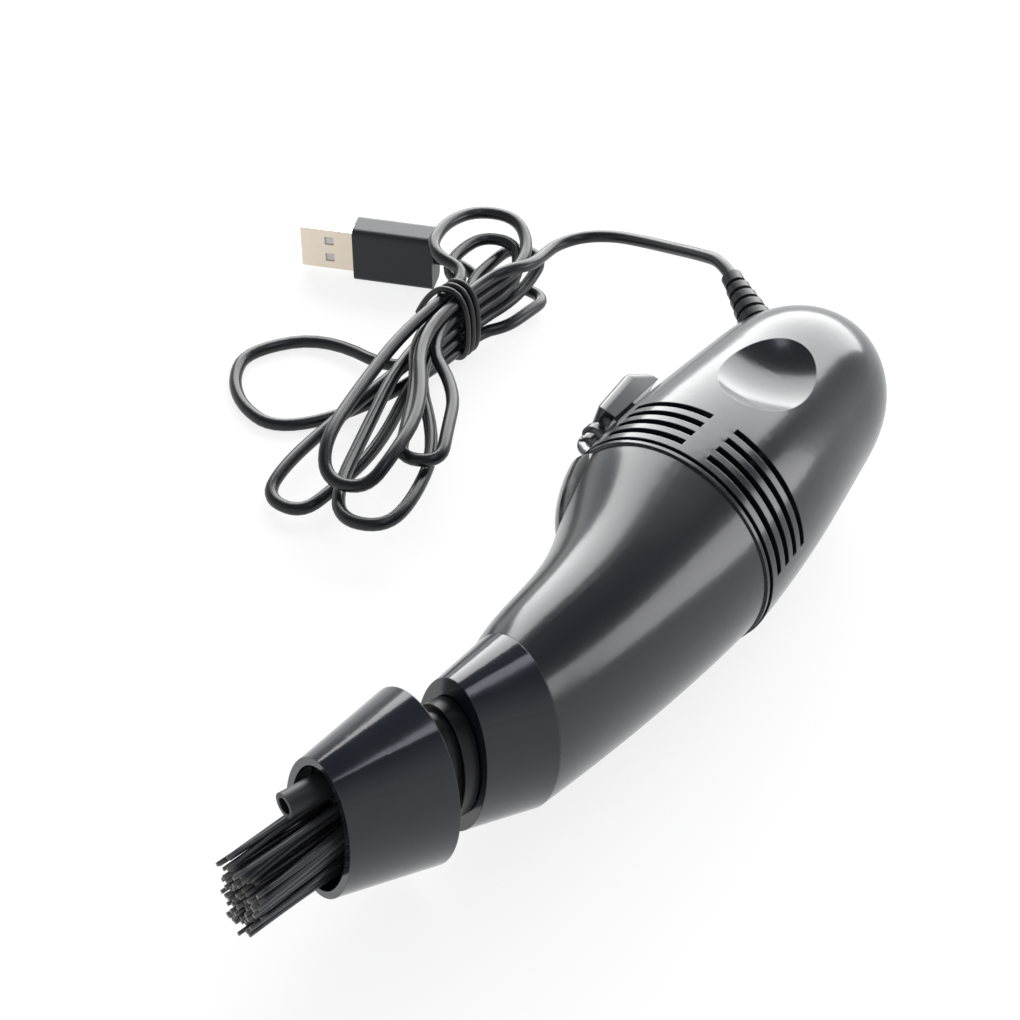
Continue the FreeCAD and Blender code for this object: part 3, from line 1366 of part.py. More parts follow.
tie_out = tie_side + size("tie_end")
tie_points = [tie_spot(-1, -tie_out, 0)]
for quarter in range(4 * tie_turn_count - 1):
    side, rise = tie_corner_ways[quarter % 4]
    tie_points.append(tie_spot(quarter, side * tie_side, rise * tie_rise))
tie_points.append(tie_spot(4 * tie_turn_count - 1, -tie_side, -tie_rise))
tie_points.append(tie_spot(4 * tie_turn_count, -tie_out, -tie_rise / 2))
node(shaped("twist_tie", route(tie_points, size("tie_radius"), "tie")), lying=True)

# Plug: overmold standing on its narrow side, metal shell, tongue and contacts

overmold_box = block("overmold_box", plug_place, ("0 * wall", "-overmold_thick / 2", "0 * wall"),
                     "overmold_long", "overmold_thick", "overmold_high")
doc.recompute()
overmold_rounded = doc.addObject("Part::Fillet", "overmold_rounded")
overmold_rounded.Base = overmold_box
overmold_rounded.Edges = [(index + 1, size("overmold_round"), size("overmold_round"))
                          for index, edge in enumerate(overmold_box.Shape.Edges)
                          if abs(edge.tangentAt(edge.FirstParameter).dot(plug_way)) > 0.99]


def plug_block(label, start, half_thick, half_high, long):
    """Box about the plug's own axis, from a reach behind the overmold's front face."""
    return block(label, plug_place, (start, "-(%s)" % half_thick, "overmold_high / 2 - (%s)" % half_high),
                 long, "2 * (%s)" % half_thick, "2 * (%s)" % half_high)


node(cut("plug_overmold", overmold_rounded,
         plug_block("plug_pocket", "-overrun", "plug_shell_thick / 2 + run_clearance",
                    "plug_shell_high / 2 + run_clearance", "overrun + plug_shell_hidden + run_clearance")),
     lying=True)

plug_hole_share = size("plug_hole_share")
plug_holes = [block("plug_hole_%d" % (side + 2), plug_place,
                    ("-plug_shell_shown * %g - plug_hole / 2" % plug_hole_share, "-2 * plug_shell_thick",
                     "(overmold_high + %d * plug_hole_apart - plug_hole) / 2" % side),
                    "plug_hole", "4 * plug_shell_thick", "plug_hole") for side in (-1, 1)]
node(cut("plug_shell", plug_block("plug_shell_outside", "-plug_shell_shown", "plug_shell_thick / 2",
                                  "plug_shell_high / 2", "plug_shell_shown + plug_shell_hidden"),
         plug_block("plug_shell_inside", "-plug_shell_shown - overrun",
                    "plug_shell_thick / 2 - plug_shell_wall", "plug_shell_high / 2 - plug_shell_wall",
                    "plug_shell_shown + plug_shell_hidden + 2 * overrun"), *plug_holes), lying=True)

tongue_side = "plug_shell_wall + run_clearance - plug_shell_thick / 2"
node(block("plug_tongue", plug_place,
           ("plug_tongue_setback - plug_shell_shown", tongue_side,
            "(overmold_high - plug_shell_high) / 2 + plug_shell_wall + run_clearance"),
           "plug_shell_shown + plug_shell_hidden - plug_tongue_setback", "plug_tongue_thick",
           "plug_shell_high - 2 * plug_shell_wall - 2 * run_clearance"), lying=True)

contact_up_shares = (-0.36, -0.12, 0.12, 0.36)
node(apart("plug_contacts", [
    block("plug_contact_%d" % (index + 1), plug_place,
          ("2 * plug_tongue_setback - plug_shell_shown", tongue_side + " + plug_tongue_thick",
           "overmold_high / 2 + plug_shell_high * %g - plug_contact_wide / 2" % share),
          "plug_contact_long", "plug_contact_thick", "plug_contact_wide")
    for index, share in enumerate(contact_up_shares)]), lying=True)

# Lay the cleaner down: roll it, stand it on Z = 0 and centre it on the origin

doc.recompute()
standing = FreeCAD.BoundBox()
for label, thing in nodes.items():
    if label not in loose:
        standing.add(moved(thing.Shape, roll).optimalBoundingBox())
shift = FreeCAD.Placement(V(-standing.Center.x, -standing.Center.y, 0), FreeCAD.Rotation())
for label, thing in nodes.items():
    thing.Placement = (shift if label in loose else shift.multiply(roll)).multiply(thing.Placement)
print("shift %.3f %.3f" % (shift.Base.x, shift.Base.y))
doc.recompute()

# Check the document, then write each node

faults = ["%s: %s" % (thing.Label, thing.State) for thing in doc.Objects
          if "Invalid" in thing.State or "Error" in thing.State]
faults += [label + ": no sound shape" for label, thing in nodes.items()
           if thing.Shape.isNull() or not thing.Shape.isValid() or not thing.Shape.Solids]
if faults:
    raise RuntimeError("; ".join(faults))
for label, thing in nodes.items():
    thing.Shape.exportStep("parts/%s.step" % label)
print(len(nodes), "nodes written")
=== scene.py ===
"""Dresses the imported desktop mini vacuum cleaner: finishes, bristles, its tied lead, and a small studio."""

import math
import random

import bmesh
import bpy
from bpy.props import FloatProperty, FloatVectorProperty, IntProperty, PointerProperty
from mathutils import Matrix, Vector


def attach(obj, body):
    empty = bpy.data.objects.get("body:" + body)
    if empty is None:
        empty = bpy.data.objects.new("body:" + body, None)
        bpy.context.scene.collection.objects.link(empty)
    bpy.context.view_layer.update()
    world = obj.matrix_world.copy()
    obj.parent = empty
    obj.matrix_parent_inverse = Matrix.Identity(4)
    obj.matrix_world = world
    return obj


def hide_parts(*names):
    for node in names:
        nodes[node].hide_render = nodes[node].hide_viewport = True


bl_info = {
    "name": "Desktop Mini Vacuum Cleaner",
    "version": (1, 0, 0),
    "blender": (4, 5, 0),
    "location": "3D Viewport > Sidebar > Vacuum",
    "description": "Finishes, bristles and tied lead of a desktop mini vacuum cleaner",
    "category": "Object",
}

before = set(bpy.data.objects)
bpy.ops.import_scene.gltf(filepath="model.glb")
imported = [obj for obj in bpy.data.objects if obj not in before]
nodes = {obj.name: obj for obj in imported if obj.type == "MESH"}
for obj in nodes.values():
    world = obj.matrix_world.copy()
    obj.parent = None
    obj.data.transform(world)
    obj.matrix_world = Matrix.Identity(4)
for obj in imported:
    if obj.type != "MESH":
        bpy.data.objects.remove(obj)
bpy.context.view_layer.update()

MM = 0.001
UP = Vector((0, 0, 1))
BACK = Vector((0, 1, 0))

# Middle of the seam between front shell and rear housing, set down on the table, in millimetres
SEAM = Vector((6.360, 20.816, 0.0))
BODY_HEIGHT = 26.1
BODY_ROLL = math.radians(8.0)


def on_table(x, y, z):
    """A point given in millimetres from the seam's middle, in metres in the row frame."""
    return (Vector((x, y, z)) + SEAM) * MM


# Sizes and colours that can be changed


class VacuumFinishes(bpy.types.PropertyGroup):
    """Colours and gloss of the cleaner's pieces"""

    housing_colour: FloatVectorProperty(
        name="Housing", description="Colour of the glossy housing and front shell",
        subtype="COLOR", size=3, min=0, max=1, default=(0.0070, 0.0098, 0.0128))
    nozzle_colour: FloatVectorProperty(
        name="Nozzle", description="Colour of the nozzle ring and brush cup",
        subtype="COLOR", size=3, min=0, max=1, default=(0.0080, 0.0100, 0.0165))
    neck_colour: FloatVectorProperty(
        name="Neck", description="Colour of the turning neck",
        subtype="COLOR", size=3, min=0, max=1, default=(0.0045, 0.0050, 0.0065))
    lead_colour: FloatVectorProperty(
        name="Lead", description="Colour of the lead's sheath",
        subtype="COLOR", size=3, min=0, max=1, default=(0.0070, 0.0078, 0.0095))
    plug_colour: FloatVectorProperty(
        name="Plug", description="Colour of the plug's moulded grip",
        subtype="COLOR", size=3, min=0, max=1, default=(0.0130, 0.0145, 0.0170))
    plug_metal: FloatVectorProperty(
        name="Plug metal", description="Colour of the plug's plated shell",
        subtype="COLOR", size=3, min=0, max=1, default=(0.74, 0.66, 0.55))
    bristle_colour: FloatVectorProperty(
        name="Bristles", description="Colour of the nylon bristles",
        subtype="COLOR", size=3, min=0, max=1, default=(0.0300, 0.0315, 0.0350))
    wear_colour: FloatVectorProperty(
        name="Worn edge", description="Colour that shows where handling has dulled an edge",
        subtype="COLOR", size=3, min=0, max=1, default=(0.060, 0.064, 0.070))
    dust_colour: FloatVectorProperty(
        name="Dust", description="Colour of the dust that settles on upper faces",
        subtype="COLOR", size=3, min=0, max=1, default=(0.23, 0.22, 0.20))
    shell_roughness: FloatProperty(
        name="Shell roughness", description="Roughness of the polished shell",
        subtype="FACTOR", min=0, max=1, default=0.20)
    wear_width: FloatProperty(
        name="Wear width", description="Width of the band of wear along an edge",
        subtype="DISTANCE", unit="LENGTH", min=0, max=0.005, default=0.0005)


class VacuumLead(bpy.types.PropertyGroup):
    """Sizes of the lead, its tied hank and the wire tie"""

    diameter: FloatProperty(
        name="Lead diameter", description="Outside diameter of the lead's sheath",
        subtype="DISTANCE", unit="LENGTH", min=0.001, max=0.01, default=0.0032)
    loop_length: FloatProperty(
        name="Longest loop", description="Reach of the hank's longest loop from the waist",
        subtype="DISTANCE", unit="LENGTH", min=0.02, max=0.3, default=0.0771)
    fan: FloatProperty(
        name="Fan", description="Angle to which the widest loop swings from the hank's axis",
        subtype="ANGLE", unit="ROTATION", min=0, max=1.57, default=math.radians(36.0))
    layer: FloatProperty(
        name="Layer", description="Height from one pass through the waist to the next",
        subtype="DISTANCE", unit="LENGTH", min=0.001, max=0.02, default=0.00365)
    tie_diameter: FloatProperty(
        name="Tie diameter", description="Diameter of the coated wire of the tie",
        subtype="DISTANCE", unit="LENGTH", min=0.0005, max=0.005, default=0.0016)


class VacuumBrush(bpy.types.PropertyGroup):
    """The brush's bristles"""

    strands: IntProperty(
        name="Strands per tuft", description="Bristles set in each hole of the plate",
        min=3, max=60, default=7)
    strand_width: FloatProperty(
        name="Strand width", description="Thickness of one bristle at its root",
        subtype="DISTANCE", unit="LENGTH", min=0.0001, max=0.002, default=0.00130)
    length: FloatProperty(
        name="Bristle length", description="Length of a bristle from the bottom of its hole",
        subtype="DISTANCE", unit="LENGTH", min=0.005, max=0.06, default=0.0262)
    seed: IntProperty(name="Seed", description="Start of the bristles' scatter", default=11)


class VacuumStage(bpy.types.PropertyGroup):
    """Camera and light"""

    lens: FloatProperty(
        name="Lens", description="Focal length of the camera in millimetres",
        subtype="DISTANCE_CAMERA", unit="CAMERA", min=10, max=300, default=80.0)
    azimuth: FloatProperty(
        name="Azimuth", description="How far the camera stands round from the nozzle's end",
        subtype="ANGLE", unit="ROTATION", default=math.radians(36.5))
    elevation: FloatProperty(
        name="Elevation", description="Height of the camera above the table as an angle",
        subtype="ANGLE", unit="ROTATION", default=math.radians(41.5))
    distance: FloatProperty(
        name="Distance", description="From the camera to the point it looks at",
        subtype="DISTANCE", unit="LENGTH", min=0.05, max=5, default=0.494)
    target: FloatVectorProperty(
        name="Target", description="The point the camera looks at",
        subtype="TRANSLATION", unit="LENGTH", size=3, default=(-0.02704, 0.008716, 0.0261))
    key_power: FloatProperty(
        name="Key light", description="Power of the broad soft box behind and to the left",
        subtype="POWER", unit="POWER", min=0, max=1000, default=23.0)
    fill_power: FloatProperty(
        name="Fill light", description="Power of the soft boxes overhead and at the right",
        subtype="POWER", unit="POWER", min=0, max=1000, default=2.6)
    floor_tone: FloatProperty(
        name="Floor tone", description="Paleness of the table top",
        subtype="FACTOR", min=0, max=1, default=0.90)


GROUPS = (("vacuum_finishes", VacuumFinishes), ("vacuum_lead", VacuumLead),
          ("vacuum_brush", VacuumBrush), ("vacuum_stage", VacuumStage))


# Shader building


def add(tree, kind, inputs=None, **settings):
    """Adds a shader node, gives it its settings, and fills or joins its inputs."""
    node = tree.nodes.new(kind)
    for name, value in settings.items():
        setattr(node, name, value)
    for name, value in (inputs or {}).items():
        if isinstance(value, bpy.types.NodeSocket):
            tree.links.new(value, node.inputs[name])
        else:
            node.inputs[name].default_value = value
    return node


def math_of(tree, operation, *values, clamp=False):
    return add(tree, "ShaderNodeMath", dict(enumerate(values)), operation=operation,
               use_clamp=clamp).outputs[0]


def blended(tree, share, first, second):
    """Colour between two others, by a share from 0 to 1."""
    node = add(tree, "ShaderNodeMix", {0: share, 6: first, 7: second}, data_type="RGBA")
    return node.outputs[2]


def ranged(tree, value, low, high, to_low=0.0, to_high=1.0):
    return add(tree, "ShaderNodeMapRange", {0: value, 1: low, 2: high, 3: to_low, 4: to_high}).outputs[0]


def noise_of(tree, where, scale, detail=3.0, roughness=0.5):
    return add(tree, "ShaderNodeTexNoise", {"Vector": where, "Scale": scale, "Detail": detail,
                                            "Roughness": roughness})


def group_of(name, inputs, outputs):
    """An empty node group with float inputs, and float or vector outputs."""
    tree = bpy.data.node_groups.new(name, "ShaderNodeTree")
    for label, value in inputs:
        socket = tree.interface.new_socket(label, in_out="INPUT", socket_type="NodeSocketFloat")
        socket.default_value = value
    for label, kind in outputs:
        tree.interface.new_socket(label, in_out="OUTPUT", socket_type=kind)
    start = tree.nodes.new("NodeGroupInput")
    end = tree.nodes.new("NodeGroupOutput")
    return tree, start.outputs, end.inputs


def moulded_surface():
    """Faint flow ripples and fine grain of moulded plastic."""
    tree, given, made = group_of(
        "Moulded Surface", [("Ripple Scale", 60.0), ("Grain Scale", 2500.0), ("Grain Share", 0.3)],
        [("Gloss Change", "NodeSocketFloat"), ("Height", "NodeSocketFloat")])
    where = add(tree, "ShaderNodeTexCoord").outputs["Object"]
    ripple = noise_of(tree, where, given["Ripple Scale"], 2.0).outputs[0]
    grain = noise_of(tree, where, given["Grain Scale"], 2.0, 0.6).outputs[0]
    change = math_of(tree, "SUBTRACT", ripple, 0.5)
    tree.links.new(math_of(tree, "MULTIPLY", change, 2.0), made["Gloss Change"])
    fine = math_of(tree, "MULTIPLY", grain, given["Grain Share"])
    tree.links.new(math_of(tree, "ADD", math_of(tree, "MULTIPLY", ripple, 0.6), fine), made["Height"])
    return tree


def edge_wear():
    """Mask along convex edges, broken up by noise."""
    tree, given, made = group_of(
        "Edge Wear", [("Width", 0.0005), ("Break Up", 900.0)], [("Mask", "NodeSocketFloat")])
    rounded = add(tree, "ShaderNodeBevel", {"Radius": given["Width"]}, samples=4).outputs[0]
    normal = add(tree, "ShaderNodeNewGeometry").outputs["Normal"]
    likeness = add(tree, "ShaderNodeVectorMath", {0: rounded, 1: normal}, operation="DOT_PRODUCT").outputs[1]
    turned = ranged(tree, likeness, 0.995, 0.80)
    where = add(tree, "ShaderNodeTexCoord").outputs["Object"]
    broken = ranged(tree, noise_of(tree, where, given["Break Up"], 4.0, 0.7).outputs[0], 0.35, 0.65)
    tree.links.new(math_of(tree, "MULTIPLY", turned, broken, clamp=True), made["Mask"])
    return tree


def settled_dust():
    """Mask of specks and haze on faces that look up."""
    tree, given, made = group_of(
        "Settled Dust", [("Speck Scale", 1400.0), ("Amount", 0.5)], [("Mask", "NodeSocketFloat")])
    normal = add(tree, "ShaderNodeNewGeometry").outputs["Normal"]
    upward = add(tree, "ShaderNodeSeparateXYZ", {0: normal}).outputs["Z"]
    facing = ranged(tree, upward, 0.2, 0.95)
    where = add(tree, "ShaderNodeTexCoord").outputs["Object"]
    specks = add(tree, "ShaderNodeTexVoronoi", {"Vector": where, "Scale": given["Speck Scale"]}).outputs[0]
    speck = ranged(tree, specks, 0.16, 0.05)
    patch = ranged(tree, noise_of(tree, where, 70.0, 3.0).outputs[0], 0.50, 0.72)
    haze = math_of(tree, "MULTIPLY", patch, 0.10)
    lots = math_of(tree, "ADD", math_of(tree, "MULTIPLY", speck, patch), haze, clamp=True)
    shown = math_of(tree, "MULTIPLY", math_of(tree, "MULTIPLY", lots, facing), given["Amount"])
    tree.links.new(shown, made["Mask"])
    return tree


def fine_scratches():
    """Mask of short hairline scratches that cross each other."""
    tree, given, made = group_of("Fine Scratches", [("Scale", 160.0), ("Amount", 0.5)],
                                 [("Mask", "NodeSocketFloat")])
    where = add(tree, "ShaderNodeTexCoord").outputs["Object"]
    lines = []
    for turn, stretch in ((0.5, 0.07), (-0.9, 0.05)):
        laid = add(tree, "ShaderNodeMapping", {"Vector": where, "Rotation": (turn, 0.4 * turn, turn),
                                               "Scale": (1.0, stretch, 1.0)}).outputs[0]
        edge = add(tree, "ShaderNodeTexVoronoi", {"Vector": laid, "Scale": given["Scale"]},
                   feature="DISTANCE_TO_EDGE").outputs[0]
        lines.append(ranged(tree, edge, 0.012, 0.002))
    both = math_of(tree, "MAXIMUM", *lines)
    patch = ranged(tree, noise_of(tree, where, 45.0, 3.0).outputs[0], 0.50, 0.66)
    kept = math_of(tree, "MULTIPLY", math_of(tree, "MULTIPLY", both, patch), given["Amount"])
    tree.links.new(kept, made["Mask"])
    return tree


def drawn_lines():
    """Fine lines of drawn or turned metal, along the object's own X axis turned about Z."""
    tree, given, made = group_of("Drawn Lines", [("Turn", 0.0), ("Scale", 900.0)],
                                 [("Tone", "NodeSocketFloat"), ("Height", "NodeSocketFloat")])
    where = add(tree, "ShaderNodeTexCoord").outputs["Object"]
    turn = add(tree, "ShaderNodeCombineXYZ", {"Z": given["Turn"]}).outputs[0]
    laid = add(tree, "ShaderNodeMapping", {"Vector": where, "Rotation": turn,
                                           "Scale": (0.04, 1.0, 1.0)}).outputs[0]
    lines = noise_of(tree, laid, given["Scale"], 4.0, 0.65).outputs[0]
    tree.links.new(lines, made["Tone"])
    tree.links.new(lines, made["Height"])
    return tree


def fibre_mat():
    """Tangle of short fibres, as in a pressed filter cloth."""
    tree, given, made = group_of("Fibre Mat", [("Scale", 700.0)],
                                 [("Tone", "NodeSocketFloat"), ("Height", "NodeSocketFloat")])
    where = add(tree, "ShaderNodeTexCoord").outputs["Object"]
    layers = []
    for turn in (0.3, 1.3, 2.4):
        laid = add(tree, "ShaderNodeMapping", {"Vector": where, "Rotation": (turn, 0.7 * turn, turn),
                                               "Scale": (1.0, 0.12, 1.0)}).outputs[0]
        edge = add(tree, "ShaderNodeTexNoise", {"Vector": laid, "Scale": given["Scale"], "Detail": 2.0,
                                                "Distortion": 0.6}).outputs[0]
        layers.append(ranged(tree, math_of(tree, "ABSOLUTE", math_of(tree, "SUBTRACT", edge, 0.5)),
                             0.06, 0.0))
    tangle = math_of(tree, "MAXIMUM", math_of(tree, "MAXIMUM", layers[0], layers[1]), layers[2])
    tree.links.new(ranged(tree, tangle, 0.0, 1.0, 0.55, 1.0), made["Tone"])
    tree.links.new(tangle, made["Height"])
    return tree


effects = {}


def effect(tree, builder, **values):
    """Places a shared effect in a material with its own values."""
    if builder.__name__ not in effects:
        effects[builder.__name__] = builder()
    node = tree.nodes.new("ShaderNodeGroup")
    node.node_tree = effects[builder.__name__]
    for name, value in values.items():
        node.inputs[name.replace("_", " ").title()].default_value = value
    return node.outputs


def rgb(colour):
    """The colour with full alpha."""
    return (colour[0], colour[1], colour[2], 1.0)


def new_material(name):
    material = bpy.data.materials.new(name)
    material.use_nodes = True
    tree = material.node_tree
    shader = tree.nodes["Principled BSDF"]
    return material, tree, shader


def joined(tree, shader, colour=None, roughness=None, height=None, height_size=0.00001, round_off=0.0):
    """Joins a colour, a roughness and a height to a Principled shader; round_off softens its edges."""
    if colour is not None:
        tree.links.new(colour, shader.inputs["Base Color"])
    if roughness is not None:
        tree.links.new(roughness, shader.inputs["Roughness"])
    normal = None
    if round_off:
        normal = add(tree, "ShaderNodeBevel", {"Radius": round_off}, samples=4).outputs[0]
    if height is not None:
        inputs = {"Height": height, "Strength": 1.0, "Distance": height_size}
        if normal is not None:
            inputs["Normal"] = normal
        normal = add(tree, "ShaderNodeBump", inputs).outputs[0]
    if normal is not None:
        tree.links.new(normal, shader.inputs["Normal"])


def plastic(name, colour, roughness, ripple=60.0, grain=2500.0, grain_share=0.3, relief=0.00001,
            coat=0.0, shine=0.4, wear=0.4, dust=0.2, scratch=0.2, round_off=0.00025, spread=0.03):
    """Moulded plastic with ripples, grain, worn edges, hairlines and a little dust."""
    finishes = bpy.context.scene.vacuum_finishes
    material, tree, shader = new_material(name)
    surface = effect(tree, moulded_surface, ripple_scale=ripple, grain_scale=grain, grain_share=grain_share)
    worn = effect(tree, edge_wear, width=finishes.wear_width)["Mask"]
    dusty = effect(tree, settled_dust, amount=dust)["Mask"]
    lines = effect(tree, fine_scratches, amount=scratch)["Mask"]
    base = blended(tree, math_of(tree, "MULTIPLY", worn, wear), rgb(colour), rgb(finishes.wear_colour))
    base = blended(tree, dusty, base, rgb(finishes.dust_colour))
    rough = math_of(tree, "MULTIPLY_ADD", surface["Gloss Change"], spread, roughness)
    for mask, more in ((worn, 0.18), (dusty, 0.5), (lines, 0.25)):
        rough = math_of(tree, "MULTIPLY_ADD", mask, more, rough, clamp=True)
    shader.inputs["Specular IOR Level"].default_value = shine
    shader.inputs["Coat Weight"].default_value = coat
    shader.inputs["Coat Roughness"].default_value = 0.06
    joined(tree, shader, base, rough, surface["Height"], relief, round_off)
    return material


def metal(name, colour, roughness, turn=0.0, scale=900.0, relief=0.000004, tint=0.12):
    """Plated or drawn metal with fine lines and handled edges."""
    finishes = bpy.context.scene.vacuum_finishes
    material, tree, shader = new_material(name)
    drawn = effect(tree, drawn_lines, turn=turn, scale=scale)
    worn = effect(tree, edge_wear, width=0.0003)["Mask"]
    dark = [channel * (1 - tint) for channel in colour]
    light = [min(1.0, channel * (1 + tint)) for channel in colour]
    base = blended(tree, drawn["Tone"], rgb(dark), rgb(light))
    rubbed = [min(1.0, channel * 1.25) for channel in colour]
    base = blended(tree, math_of(tree, "MULTIPLY", worn, 0.35), base, rgb(rubbed))
    smudge = noise_of(tree, add(tree, "ShaderNodeTexCoord").outputs["Object"], 240.0, 3.0).outputs[0]
    rough = math_of(tree, "MULTIPLY_ADD", drawn["Tone"], 0.10, roughness)
    rough = math_of(tree, "MULTIPLY_ADD", smudge, 0.08, rough, clamp=True)
    shader.inputs["Metallic"].default_value = 1.0
    joined(tree, shader, base, rough, drawn["Height"], relief, 0.0002)
    return material


def clear(name, colour, roughness, transmission, index):
    """Clear or smoky plastic."""
    material, tree, shader = new_material(name)
    surface = effect(tree, moulded_surface, ripple_scale=150.0, grain_share=0.1)
    lines = effect(tree, fine_scratches, amount=0.3)["Mask"]
    dusty = effect(tree, settled_dust, amount=0.15)["Mask"]
    base = blended(tree, dusty, rgb(colour), (0.75, 0.74, 0.72, 1.0))
    rough = math_of(tree, "MULTIPLY_ADD", lines, 0.2, roughness)
    rough = math_of(tree, "MULTIPLY_ADD", dusty, 0.3, rough, clamp=True)
    shader.inputs["Transmission Weight"].default_value = transmission
    shader.inputs["IOR"].default_value = index
    joined(tree, shader, base, rough, surface["Height"], 0.000006, 0.0)
    return material


def filter_felt():
    """Pale pressed cloth with a grey-brown stain of dust."""
    material, tree, shader = new_material("filter_felt")
    mat = effect(tree, fibre_mat, scale=700.0)
    base = blended(tree, mat["Tone"], (0.38, 0.38, 0.37, 1.0), (0.82, 0.82, 0.80, 1.0))
    where = add(tree, "ShaderNodeTexCoord").outputs["Object"]
    stain = ranged(tree, noise_of(tree, where, 90.0, 4.0).outputs[0], 0.45, 0.75, 0.0, 0.25)
    base = blended(tree, stain, base, (0.30, 0.27, 0.23, 1.0))
    shader.inputs["Sheen Weight"].default_value = 0.35
    rough = ranged(tree, mat["Tone"], 0.5, 1.0, 0.95, 0.8)
    joined(tree, shader, base, rough, mat["Height"], 0.00008, 0.0)
    return material


def circuit_board():
    """Brown phenolic board with a faint weave and dark edges."""
    material, tree, shader = new_material("circuit_board")
    where = add(tree, "ShaderNodeTexCoord").outputs["Object"]
    weave = add(tree, "ShaderNodeTexChecker", {"Vector": where, "Scale": 2600.0}).outputs[1]
    cloud = noise_of(tree, where, 500.0, 4.0).outputs[0]
    base = blended(tree, cloud, (0.20, 0.115, 0.045, 1.0), (0.33, 0.20, 0.085, 1.0))
    base = blended(tree, math_of(tree, "MULTIPLY", weave, 0.12), base, (0.45, 0.30, 0.15, 1.0))
    worn = effect(tree, edge_wear, width=0.0003)["Mask"]
    base = blended(tree, math_of(tree, "MULTIPLY", worn, 0.5), base, (0.10, 0.06, 0.03, 1.0))
    rough = ranged(tree, cloud, 0.3, 0.7, 0.38, 0.55)
    joined(tree, shader, base, rough, weave, 0.00001, 0.0)
    return material


def bristle_nylon():
    """Black nylon strands: a different tone from strand to strand, paler toward the cut tips."""
    finishes = bpy.context.scene.vacuum_finishes
    material, tree, shader = new_material("bristle_nylon")
    strand = add(tree, "ShaderNodeAttribute", attribute_name="strand_tone").outputs["Fac"]
    along = add(tree, "ShaderNodeAttribute", attribute_name="strand_reach").outputs["Fac"]
    colour = finishes.bristle_colour
    base = blended(tree, strand, rgb([c * 0.5 for c in colour]), rgb([c * 1.9 for c in colour]))
    tip = math_of(tree, "MULTIPLY", ranged(tree, along, 0.93, 1.0), 0.45)
    base = blended(tree, tip, base, (0.16, 0.15, 0.14, 1.0))
    where = add(tree, "ShaderNodeTexCoord").outputs["Object"]
    speckle = noise_of(tree, where, 3000.0, 3.0, 0.6).outputs[0]
    rough = math_of(tree, "MULTIPLY_ADD", speckle, 0.16, 0.20)
    rough = math_of(tree, "MULTIPLY_ADD", strand, 0.10, rough, clamp=True)
    joined(tree, shader, base, rough, speckle, 0.000006, 0.0)
    return material


# Which finish each kept piece takes

FINISHED = {
    "housing": ("rear_housing_upper", "rear_housing_lower", "front_shell"),
    "nozzle": ("nozzle_ring", "brush_cup"),
    "neck": ("nozzle_neck",),
    "knob": ("switch_knob",),
    "inside": ("inlet_plate", "filter_frame", "brush_plate", "suction_tube", "switch_lever"),
    "fan": ("impeller", "motor_end_cap"),
    "steel": ("motor_can", "motor_plate", "housing_screws", "motor_screws", "motor_shaft"),
    "switch": ("slide_switch",),
    "magnet": ("motor_magnets",),
    "copper": ("motor_armature",),
    "tin": ("motor_terminals",),
    "felt": ("filter_cloth",),
    "smoky": ("light_window",),
    "lamp": ("led_bulb",),
    "board": ("switch_board",),
    "resistor": ("led_resistor",),
    "red_wire": ("supply_wires",),
    "black_wire": ("motor_wires",),
    "relief": ("strain_relief",),
    "grip": ("plug_overmold",),
    "plug_metal": ("plug_shell",),
    "tongue": ("plug_tongue",),
    "gold": ("plug_contacts",),
}


